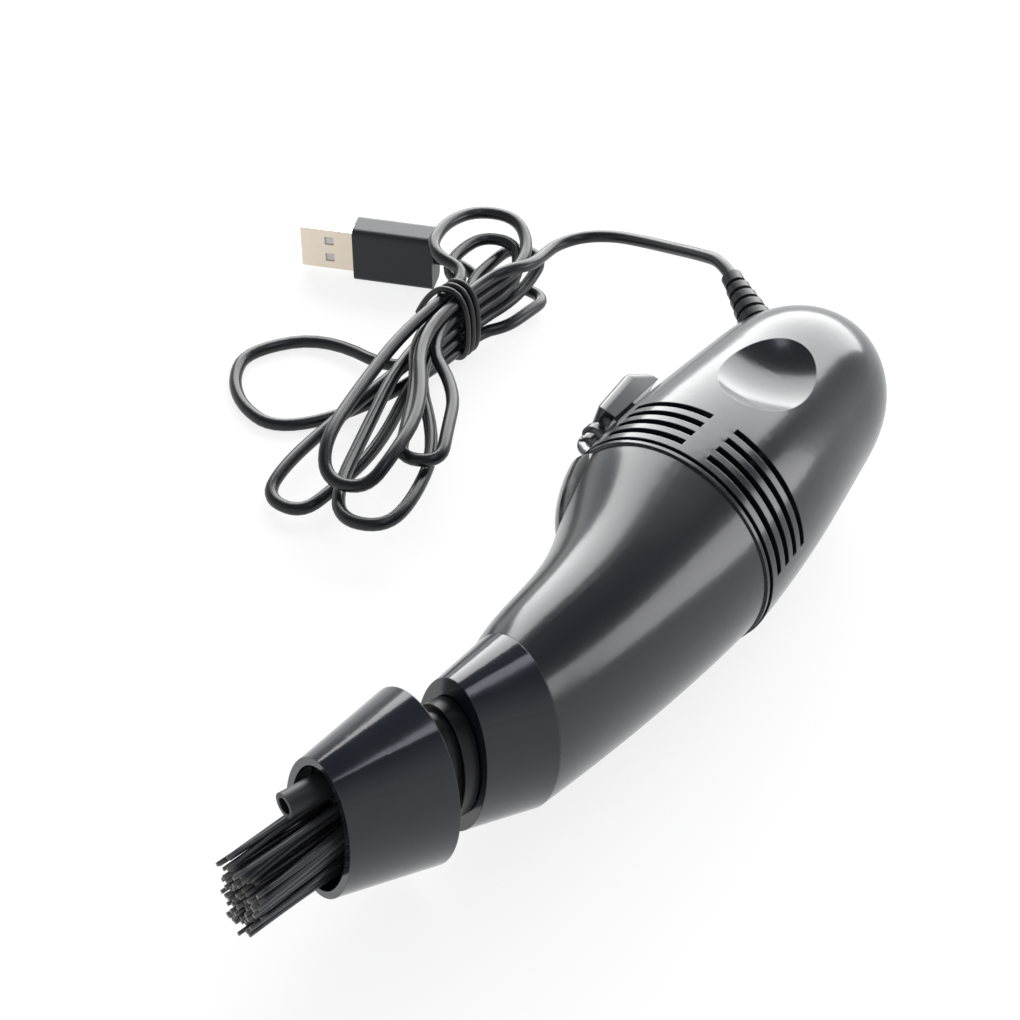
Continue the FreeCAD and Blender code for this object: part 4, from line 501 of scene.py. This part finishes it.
def finishes_made():
    """Every finish, by the short name that the table of kept pieces uses."""
    f = bpy.context.scene.vacuum_finishes
    return {
        "housing": plastic("gloss_slate_shell", f.housing_colour, f.shell_roughness, ripple=45.0,
                           relief=0.000012, coat=0.12, wear=0.5, dust=0.10, scratch=0.15, round_off=0.0003),
        "nozzle": plastic("gloss_blue_black_nozzle", f.nozzle_colour, 0.13, ripple=70.0, relief=0.000008,
                          coat=0.15, shine=0.36, wear=0.4, dust=0.10, scratch=0.2, round_off=0.0003),
        "neck": plastic("satin_black_neck", f.neck_colour, 0.34, grain=3500.0, grain_share=0.6,
                        relief=0.000010, shine=0.2, wear=0.5, dust=0.12, scratch=0.3),
        "knob": plastic("gloss_black_knob", [c * 0.8 for c in f.housing_colour], 0.20, ripple=90.0,
                        coat=0.3, wear=0.6, dust=0.15, scratch=0.3, round_off=0.0003),
        "inside": plastic("matt_black_inner_plastic", (0.012, 0.013, 0.015), 0.42, grain=3000.0,
                          grain_share=0.8, relief=0.000015, wear=0.3, dust=0.5, scratch=0.1),
        "fan": plastic("white_nylon_fan", (0.62, 0.62, 0.58), 0.40, grain=2600.0, relief=0.000015,
                       wear=0.0, dust=0.3, scratch=0.1),
        "steel": metal("zinc_plated_steel", (0.60, 0.60, 0.61), 0.26),
        "switch": metal("pressed_tin_switch", (0.55, 0.55, 0.56), 0.32, turn=0.8),
        "magnet": metal("dark_ferrite", (0.09, 0.09, 0.095), 0.55, scale=1500.0),
        "copper": metal("wound_copper", (0.80, 0.40, 0.22), 0.30, turn=1.57, scale=1400.0, relief=0.00003),
        "tin": metal("tinned_terminal", (0.72, 0.71, 0.68), 0.25, scale=1200.0),
        "felt": filter_felt(),
        "smoky": clear("smoky_window", (0.13, 0.135, 0.14), 0.06, 0.85, 1.49),
        "lamp": clear("clear_lamp", (0.96, 0.97, 0.98), 0.03, 1.0, 1.50),
        "board": circuit_board(),
        "resistor": plastic("resistor_body", (0.46, 0.33, 0.19), 0.45, wear=0.0, dust=0.1, scratch=0.0),
        "red_wire": plastic("red_wire_sheath", (0.35, 0.015, 0.012), 0.40, wear=0.0, dust=0.1, scratch=0.0),
        "black_wire": plastic("black_wire_sheath", (0.012, 0.012, 0.013), 0.40, wear=0.0, dust=0.1,
                              scratch=0.0),
        "relief": plastic("soft_black_relief", f.lead_colour, 0.36, grain=2600.0, grain_share=0.7,
                          relief=0.000015, wear=0.3, dust=0.2, scratch=0.0, round_off=0.0002),
        "lead": plastic("lead_sheath", f.lead_colour, 0.30, ripple=140.0, grain=2600.0, grain_share=0.5,
                        relief=0.000015, wear=0.0, dust=0.25, scratch=0.05, round_off=0.0, spread=0.06),
        "tie": plastic("tie_coating", [c * 0.7 for c in f.lead_colour], 0.38, ripple=300.0, grain=3000.0,
                       relief=0.00002, wear=0.0, dust=0.2, scratch=0.0, round_off=0.0),
        "grip": plastic("matt_plug_grip", f.plug_colour, 0.45, grain=3000.0, grain_share=0.9,
                        relief=0.00002, wear=0.5, dust=0.25, scratch=0.15),
        "plug_metal": metal("warm_plated_shell", f.plug_metal, 0.30, turn=-0.41, scale=700.0, tint=0.05),
        "tongue": plastic("white_plug_tongue", (0.72, 0.72, 0.70), 0.45, wear=0.0, dust=0.1, scratch=0.0),
        "gold": metal("gold_contact", (0.90, 0.66, 0.28), 0.22, turn=-0.41),
        "bristle": bristle_nylon(),
    }


materials = {}


def coat_object(obj, material):
    """Gives all of an object's material slots one material."""
    if not obj.material_slots:
        obj.data.materials.append(material)
    for index in range(len(obj.material_slots)):
        obj.material_slots[index].material = material


class VACUUM_OT_finishes(bpy.types.Operator):
    """Make every finish and give it to the pieces that keep their solids"""

    bl_idname = "vacuum.finishes"
    bl_label = "Finish the pieces"

    def execute(self, context):
        materials.update(finishes_made())
        for finish, names in FINISHED.items():
            for name in names:
                coat_object(nodes[name], materials[finish])
        return {"FINISHED"}


# The lead

LEAD_EXIT = (-37.317, 83.533, 31.345)
LEAD_WAY = Vector((-0.8011, 0.5878, 0.1126))
LEAD_RUN = ((-50.6, 90.2, 28.8), (-62.0, 94.4, 23.8), (-72.6, 96.8, 20.2), (-80.9, 97.2, 18.0),
            (-88.0, 93.8, 16.8), (-91.6, 87.2, 16.6), (-90.9, 79.8, 17.5), (-89.6, 72.8, 19.1),
            (-92.1, 66.8, 20.2))
TAIL_RUN = ((-98.6, 63.6, 2.7), (-101.4, 71.2, 2.7), (-108.5, 75.9, 5.2))
PLUG_BACK = (-120.813, 73.142, 7.9)
PLUG_WAY = Vector((0.9157, 0.4019, 0.0))
RELIEF_STRAIGHT = 6.0
WAIST_STRAIGHT = 6.5
TAIL_STRAIGHT = 4.4
PLUG_STRAIGHT = 4.8
WAIST = Vector((-97.0, 50.6, 0.0))
WAIST_LOW = 4.2
WAIST_HALF = 3.5

# Each loop's fan, length, width, the place of its flanks, and the heights of its flanks and its tip, as
# shares of the widest fan, the longest loop, the loop's own length, that again, and the highest pass
LOWER_LOOPS = ((-0.456, 0.904, 0.122, 0.81, 0.968, 0.723), (-0.817, 0.743, 0.0855, 0.74, 0.771, 0.734),
               (-0.6, 1.0, 0.1174, 0.81, 0.537, 0.521), (-0.103, 0.939, 0.1036, 0.79, 0.239, 0.17),
               (1.0, 0.733, 0.29, 0.79, 0.0904, 0.0904))
UPPER_LOOPS = ((0.583, 0.493, 0.305, 0.6, 0.989, 1.011), (0.447, 0.419, 0.254, 0.6, 0.739, 0.803),
               (0.144, 0.463, 0.157, 0.6, 0.532, 0.596), (-0.117, 0.396, 0.184, 0.57, 0.319, 0.181))
UPPER_STEP = 0.35


def pass_height(index):
    """Height of a pass through the waist in millimetres, counted down from the highest."""
    layer = bpy.context.scene.vacuum_lead.layer / MM
    return WAIST_LOW + layer * (len(LOWER_LOOPS) - 1 - index)


def loop_stops(shares, rearward, step):
    """Points and headings at a loop's two flanks and its tip; rearward is 1 or -1."""
    lead = bpy.context.scene.vacuum_lead
    fan, length, width, flank, flank_height, tip_height = shares
    turn = fan * lead.fan
    along = Vector((-math.sin(turn), rearward * math.cos(turn), 0))
    across = Vector((rearward * math.cos(turn), math.sin(turn), 0))
    reach = length * lead.loop_length / MM
    middle = WAIST + along * (reach * flank) + UP * (pass_height(0) * flank_height)
    return [(middle - across * (reach * width) + UP * step, along),
            (WAIST + along * reach + UP * (pass_height(0) * tip_height), across),
            (middle + across * (reach * width) - UP * step, -along)]


def hank_stops():
    """Points and headings from the lead's pass through the waist to the tail's, in millimetres."""
    lead = bpy.context.scene.vacuum_lead
    column = lead.layer / MM / 2
    stops = []
    for index, shares in enumerate(LOWER_LOOPS):
        height = pass_height(index)
        stops += [(WAIST + Vector((column, WAIST_HALF, height)), -BACK),
                  (WAIST + Vector((column, -WAIST_HALF, height)), -BACK)]
        stops += loop_stops(shares, -1, 0)
        stops += [(WAIST + Vector((-column, -WAIST_HALF, height)), BACK),
                  (WAIST + Vector((-column, WAIST_HALF, height)), BACK)]
        if index < len(UPPER_LOOPS):
            stops += loop_stops(UPPER_LOOPS[index], 1, lead.layer / MM * UPPER_STEP)
    return stops


def bend_corners(start, start_way, end, end_way):
    """The two corners that the line leans on from one stop to the next; none on a straight pass."""
    gap = end - start
    if gap.cross(start_way).length + gap.cross(end_way).length < 1e-6 * gap.length:
        return []
    bend = start_way.dot(end_way)
    if 1 - bend < 1e-7:
        reach = gap.dot(gap) / (4 * gap.dot(end_way))
    else:
        along = gap.dot(start_way + end_way)
        reach = (math.sqrt(along ** 2 + 2 * (1 - bend) * gap.dot(gap)) - along) / (2 * (1 - bend))
    return [start + start_way * reach, end - end_way * reach]


def lead_corners():
    """The whole lead's control points, from the strain relief to the plug, in millimetres."""
    stops = hank_stops()
    start, tail = stops[0][0], stops[-1][0]
    exit_point, plug_back = Vector(LEAD_EXIT), Vector(PLUG_BACK)
    corners = [exit_point, exit_point + LEAD_WAY * RELIEF_STRAIGHT]
    corners += [Vector(point) for point in LEAD_RUN]
    corners += [start + BACK * WAIST_STRAIGHT]
    for near, far in zip(stops, stops[1:]):
        corners += bend_corners(*near, *far)
    corners += [tail + BACK * TAIL_STRAIGHT]
    corners += [Vector(point) for point in TAIL_RUN]
    corners += [plug_back + PLUG_WAY * PLUG_STRAIGHT, plug_back]
    return corners


def nurbs_line(name, corners, thickness, material, resolution=6, sides=4):
    """A round cord whose centreline is one open NURBS spline on these control points."""
    data = bpy.data.curves.new(name, "CURVE")
    data.dimensions = "3D"
    data.resolution_u = resolution
    data.bevel_depth = thickness / 2
    data.bevel_resolution = sides
    data.use_fill_caps = True
    spline = data.splines.new("NURBS")
    spline.points.add(len(corners) - 1)
    for spot, corner in zip(spline.points, corners):
        spot.co = (*corner, 1.0)
    spline.order_u = 3
    spline.use_endpoint_u = True
    spline.use_smooth = True
    obj = bpy.data.objects.new(name, data)
    bpy.context.scene.collection.objects.link(obj)
    data.materials.append(material)
    return obj


class VACUUM_OT_lead(bpy.types.Operator):
    """Lay the lead from the strain relief through its tied hank to the plug"""

    bl_idname = "vacuum.lead"
    bl_label = "Lay the lead"

    def execute(self, context):
        lead = context.scene.vacuum_lead
        corners = [on_table(*corner) for corner in lead_corners()]
        flex = nurbs_line("lead", corners, lead.diameter, materials["lead"])
        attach(flex, "housing")
        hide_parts("cord_lead", "cord_hank", "cord_tail")
        return {"FINISHED"}


TIE_TURNS = 3
TIE_PITCH = 2.1
TIE_GAP = 0.85
TIE_END = 4.6
TIE_CORNERS = ((-1, 1), (1, 1), (1, -1), (-1, -1))


class VACUUM_OT_tie(bpy.types.Operator):
    """Wind the coated wire tie round the hank's waist"""

    bl_idname = "vacuum.tie"
    bl_label = "Wind the tie"

    def execute(self, context):
        lead = context.scene.vacuum_lead
        layer, radius, wire = lead.layer / MM, lead.diameter / MM / 2, lead.tie_diameter / MM / 2
        side = layer / 2 + radius + TIE_GAP + wire
        rise = layer * (len(LOWER_LOOPS) - 1) / 2 + radius + TIE_GAP + wire
        middle = WAIST + UP * (layer * (len(LOWER_LOOPS) - 1) / 2 + WAIST_LOW)

        def spot(quarter, aside, up):
            return middle + Vector((aside, TIE_PITCH * (quarter / 4 - TIE_TURNS / 2 + 0.5), up))

        out = side + TIE_END
        corners = [spot(-1, -out, 0)]
        for quarter in range(4 * TIE_TURNS - 1):
            across, up = TIE_CORNERS[quarter % 4]
            corners.append(spot(quarter, across * side, up * rise))
        corners.append(spot(4 * TIE_TURNS - 1, -side, -rise))
        corners.append(spot(4 * TIE_TURNS, -out, -rise / 2))
        tie = nurbs_line("wire_tie", [on_table(*corner) for corner in corners], lead.tie_diameter,
                         materials["tie"], resolution=10, sides=3)
        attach(tie, "housing")
        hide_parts("twist_tie")
        return {"FINISHED"}


# The bristles

# Places in the nozzle's own frame, in millimetres
NOSE_TURN = math.radians(15.2)
NOSE_SPOT = (4.2, -62.5, 0.0)
HOLE_REACH = 39.4
HOLE_RADIUS = 1.75
HOLE_CLEARANCE = 0.1
PLATE_HALF_HEIGHT = 17.5
PLATE_HALF_WIDTH = 8.7
TUFT_UP_SHARES = (0.2, -0.04, -0.28, -0.52, -0.76)
TUFT_SIDE_SHARES = (-0.5, 0.0, 0.5)
TUFT_NARROW_SHARE = 0.16

# How far the tips lean: each row toward its clump, the whole brush aside, and shares of a root's own place
CLUMP_UPS = (-5.1, -3.0, -2.4, 0.3, 1.2)
LEAN_SIDE = -1.4
FAN_UP_SHARE = 0.10
FAN_SIDE_SHARE = 0.20
TUFT_FAN_UP_SHARE = 1.1
TUFT_FAN_SIDE_SHARE = 0.40
STRAY_LEAN = 0.35
STRAY_BOW = 0.22

# A strand's form
SHORTER_SHARES = (0.0, 0.06, 0.02, 0.09, 0.04, 0.12, 0.01)
STRAY_SHORTER_SHARES = (-0.01, 0.03)
TIP_TAPER_SHARE = 0.30
STRAND_SIDES = 6
STRAND_STEPS = 7
GOLDEN_TURN = math.pi * (3 - math.sqrt(5))


def nozzle_frame():
    """Matrix from the nozzle's own frame, up, side and forward in millimetres, to the row frame."""
    forward = Vector((-math.sin(NOSE_TURN), -math.cos(NOSE_TURN), 0))
    side = forward.cross(UP)
    place = Matrix.Translation(Vector(NOSE_SPOT)) @ Matrix((UP, side, forward)).transposed().to_4x4()
    roll = Matrix.Translation((0, 0, BODY_HEIGHT)) @ Matrix.Rotation(BODY_ROLL, 4, "Y")
    return Matrix.Scale(MM, 4) @ Matrix.Translation(SEAM) @ roll @ place


def tuft_roots():
    """Middle of each tuft's hole, as up and side in millimetres, with the number of its row."""
    for row, up in enumerate(TUFT_UP_SHARES):
        for side in TUFT_SIDE_SHARES:
            yield PLATE_HALF_HEIGHT * up, PLATE_HALF_WIDTH * side * (1 - TUFT_NARROW_SHARE * row), row


def strand_line(brush, scatter, tuft, number, strand):
    """Points from one bristle's root to its tip, bowed a little to one side, in millimetres."""
    up, side, row = tuft
    angle = strand * GOLDEN_TURN
    room = HOLE_RADIUS - brush.strand_width / MM / 2 - HOLE_CLEARANCE
    spread = room * math.sqrt((strand + 0.5) / brush.strands)
    upward, aside = spread * math.sin(angle), spread * math.cos(angle)
    root = Vector((up + upward, side + aside, HOLE_REACH))
    shorter = SHORTER_SHARES[(number + strand) % len(SHORTER_SHARES)] + scatter.uniform(*STRAY_SHORTER_SHARES)
    lean_up = up * FAN_UP_SHARE + upward * TUFT_FAN_UP_SHARE + CLUMP_UPS[row] + scatter.gauss(0, STRAY_LEAN)
    lean_side = side * FAN_SIDE_SHARE + aside * TUFT_FAN_SIDE_SHARE + LEAN_SIDE + scatter.gauss(0, STRAY_LEAN)
    tip = root + Vector((lean_up, lean_side, brush.length / MM * (1 - max(0.0, shorter))))
    bow = Vector((scatter.gauss(0, STRAY_BOW), scatter.gauss(0, STRAY_BOW), 0))
    shares = [step / STRAND_STEPS for step in range(STRAND_STEPS + 1)]
    return [root.lerp(tip, share) + bow * math.sin(math.pi * share) for share in shares]


def add_strand(mesh, place, line, root_radius, turned, tone):
    """Skins one bristle round its line, and notes its tone and the reach of each ring."""
    tone_layer = mesh.verts.layers.float["strand_tone"]
    reach_layer = mesh.verts.layers.float["strand_reach"]
    rings = []
    for step, spot in enumerate(line):
        share = step / STRAND_STEPS
        radius = root_radius * (1 - TIP_TAPER_SHARE * share ** 2)
        ring = []
        for corner in range(STRAND_SIDES):
            turn = 2 * math.pi * corner / STRAND_SIDES + turned
            out = Vector((math.cos(turn), math.sin(turn), 0)) * radius
            vert = mesh.verts.new(place @ (spot + out))
            vert[tone_layer] = tone
            vert[reach_layer] = share
            ring.append(vert)
        rings.append(ring)
    for near, far in zip(rings, rings[1:]):
        for corner in range(STRAND_SIDES):
            after = (corner + 1) % STRAND_SIDES
            mesh.faces.new((near[corner], near[after], far[after], far[corner])).smooth = True
    mesh.faces.new(rings[-1])
    mesh.faces.new(list(reversed(rings[0])))


class VACUUM_OT_bristles(bpy.types.Operator):
    """Set the tufts of nylon bristles in the brush plate"""

    bl_idname = "vacuum.bristles"
    bl_label = "Set the bristles"

    def execute(self, context):
        brush = context.scene.vacuum_brush
        scatter = random.Random(brush.seed)
        place = nozzle_frame()
        mesh = bmesh.new()
        mesh.verts.layers.float.new("strand_tone")
        mesh.verts.layers.float.new("strand_reach")
        for number, tuft in enumerate(tuft_roots()):
            for strand in range(brush.strands):
                line = strand_line(brush, scatter, tuft, number, strand)
                add_strand(mesh, place, line, brush.strand_width / MM / 2, strand * GOLDEN_TURN,
                           scatter.random())
        data = bpy.data.meshes.new("bristle_strands")
        mesh.to_mesh(data)
        mesh.free()
        strands = bpy.data.objects.new("bristle_strands", data)
        context.scene.collection.objects.link(strands)
        data.materials.append(materials["bristle"])
        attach(strands, "brush_head")
        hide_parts("brush_bristles")
        return {"FINISHED"}


# The stage, in metres

TABLE_HALF = 2.0
TABLE_GLOW_SHARE = 0.82
STAGE_MIDDLE = (0.0, 0.02, 0.02)
WINDOW_BOX_SPOT = (-0.34, 0.76, 0.42)
WINDOW_BOX_SIZE = (1.35, 0.80)
STRIP_SPOT = (0.285, 0.03, 0.735)
STRIP_SIZE = (0.64, 0.09)
STRIP_TURN = math.radians(147.0)
STRIP_POWER_SHARE = 0.35
STRIP_TINT = (0.86, 0.88, 1.0)
RIGHT_BOX_SPOT = (0.60, 0.50, 0.20)
RIGHT_BOX_SIZE = (0.50, 0.34)
RIGHT_BOX_TINT = (0.97, 0.96, 1.0)


def seen_plainly(tree):
    """1 where a camera, mirror or glass ray looks, and 0 where light only bounces."""
    rays = add(tree, "ShaderNodeLightPath").outputs
    seen = math_of(tree, "MAXIMUM", rays["Is Camera Ray"], rays["Is Glossy Ray"])
    return math_of(tree, "MAXIMUM", seen, rays["Is Transmission Ray"])


def floor_material(tone):
    """Pale table top: close to plain white to the eye, with the object's soft shadow left in it."""
    material = bpy.data.materials.new("table_top")
    material.use_nodes = True
    tree = material.node_tree
    tree.nodes.clear()
    where = add(tree, "ShaderNodeTexCoord").outputs["Object"]
    cloud = ranged(tree, noise_of(tree, where, 14.0, 3.0).outputs[0], 0.3, 0.7, tone - 0.01, tone + 0.01)
    matt = add(tree, "ShaderNodeBsdfDiffuse", {"Color": cloud}).outputs[0]
    glow = add(tree, "ShaderNodeEmission", {"Color": (1, 1, 1, 1), "Strength": 1.0}).outputs[0]
    share = math_of(tree, "MULTIPLY", seen_plainly(tree), TABLE_GLOW_SHARE)
    mixed = add(tree, "ShaderNodeMixShader", {0: share, 1: matt, 2: glow}).outputs[0]
    add(tree, "ShaderNodeOutputMaterial", {"Surface": mixed})
    return material


def studio_world():
    """White to the camera; a soft overhead falloff in what the gloss mirrors; plain light elsewhere."""
    world = bpy.data.worlds.new("studio")
    world.use_nodes = True
    tree = world.node_tree
    tree.nodes.clear()
    rays = add(tree, "ShaderNodeLightPath").outputs
    way = add(tree, "ShaderNodeTexCoord").outputs["Generated"]
    height = add(tree, "ShaderNodeSeparateXYZ", {0: way}).outputs["Z"]
    ceiling = ranged(tree, height, 0.05, 0.75, 1.0, 0.22)
    seen = math_of(tree, "MAXIMUM", rays["Is Camera Ray"], rays["Is Transmission Ray"])
    mirrored = math_of(tree, "MULTIPLY", rays["Is Glossy Ray"], ceiling)
    around = math_of(tree, "MAXIMUM", seen, mirrored)
    bounced = math_of(tree, "SUBTRACT", 1.0, math_of(tree, "MAXIMUM", seen, rays["Is Glossy Ray"]))
    strength = math_of(tree, "MULTIPLY_ADD", bounced, 0.55, around)
    background = add(tree, "ShaderNodeBackground", {"Color": (1, 1, 1, 1), "Strength": strength}).outputs[0]
    add(tree, "ShaderNodeOutputWorld", {"Surface": background})
    bpy.context.scene.world = world


def soft_box(name, spot, toward, size, power, colour=(1, 1, 1)):
    """A rectangular area light that faces a point."""
    light = bpy.data.lights.new(name, "AREA")
    light.shape = "RECTANGLE"
    light.size, light.size_y = size
    light.energy = power
    light.color = colour
    obj = bpy.data.objects.new(name, light)
    obj.location = spot
    obj.rotation_euler = (Vector(toward) - Vector(spot)).to_track_quat("-Z", "Y").to_euler()
    bpy.context.scene.collection.objects.link(obj)
    return obj


class VACUUM_OT_stage(bpy.types.Operator):
    """Set up the table, the soft light and the camera"""

    bl_idname = "vacuum.stage"
    bl_label = "Set up the stage"

    def execute(self, context):
        stage = context.scene.vacuum_stage
        mesh = bmesh.new()
        bmesh.ops.create_grid(mesh, x_segments=8, y_segments=8, size=TABLE_HALF)
        data = bpy.data.meshes.new("table")
        mesh.to_mesh(data)
        mesh.free()
        floor = bpy.data.objects.new("table", data)
        context.scene.collection.objects.link(floor)
        data.materials.append(floor_material(stage.floor_tone))
        studio_world()
        soft_box("window_box", WINDOW_BOX_SPOT, STAGE_MIDDLE, WINDOW_BOX_SIZE, stage.key_power)
        strip = soft_box("overhead_strip", STRIP_SPOT, (STRIP_SPOT[0], STRIP_SPOT[1], 0.0), STRIP_SIZE,
                         stage.fill_power * STRIP_POWER_SHARE, STRIP_TINT)
        strip.rotation_euler.z = STRIP_TURN
        soft_box("right_box", RIGHT_BOX_SPOT, STAGE_MIDDLE, RIGHT_BOX_SIZE, stage.fill_power, RIGHT_BOX_TINT)
        azimuth, elevation = stage.azimuth, stage.elevation
        ahead = Vector((-math.sin(azimuth) * math.cos(elevation), math.cos(azimuth) * math.cos(elevation),
                        -math.sin(elevation)))
        camera = bpy.data.cameras.new("camera")
        camera.lens = stage.lens
        camera.sensor_width = 36.0
        camera.clip_start, camera.clip_end = 0.01, 20.0
        holder = bpy.data.objects.new("camera", camera)
        holder.location = Vector(stage.target) - ahead * stage.distance
        holder.rotation_euler = ahead.to_track_quat("-Z", "Y").to_euler()
        context.scene.collection.objects.link(holder)
        context.scene.camera = holder
        context.scene.view_settings.view_transform = "Standard"
        return {"FINISHED"}


class VACUUM_PT_panel(bpy.types.Panel):
    """Shows a button for each step, and the settings for sizes, colours, brush and stage"""

    bl_idname = "VACUUM_PT_panel"
    bl_label = "Mini Vacuum Cleaner"
    bl_space_type = "VIEW_3D"
    bl_region_type = "UI"
    bl_category = "Vacuum"

    def draw(self, context):
        layout = self.layout
        for operator in OPERATORS:
            layout.operator(operator.bl_idname)
        for name, group in GROUPS:
            box = layout.box()
            for prop in group.__annotations__:
                box.prop(getattr(context.scene, name), prop)


OPERATORS = (VACUUM_OT_finishes, VACUUM_OT_tie, VACUUM_OT_lead, VACUUM_OT_bristles, VACUUM_OT_stage)


def register():
    for name, group in GROUPS:
        bpy.utils.register_class(group)
        setattr(bpy.types.Scene, name, PointerProperty(type=group))
    for operator in OPERATORS:
        bpy.utils.register_class(operator)
    bpy.utils.register_class(VACUUM_PT_panel)


def unregister():
    bpy.utils.unregister_class(VACUUM_PT_panel)
    for operator in reversed(OPERATORS):
        bpy.utils.unregister_class(operator)
    for name, group in reversed(GROUPS):
        delattr(bpy.types.Scene, name)
        bpy.utils.unregister_class(group)


def main():
    register()
    for operator in OPERATORS:
        family, action = operator.bl_idname.split(".")
        getattr(getattr(bpy.ops, family), action)()


if __name__ == "__main__":
    main()
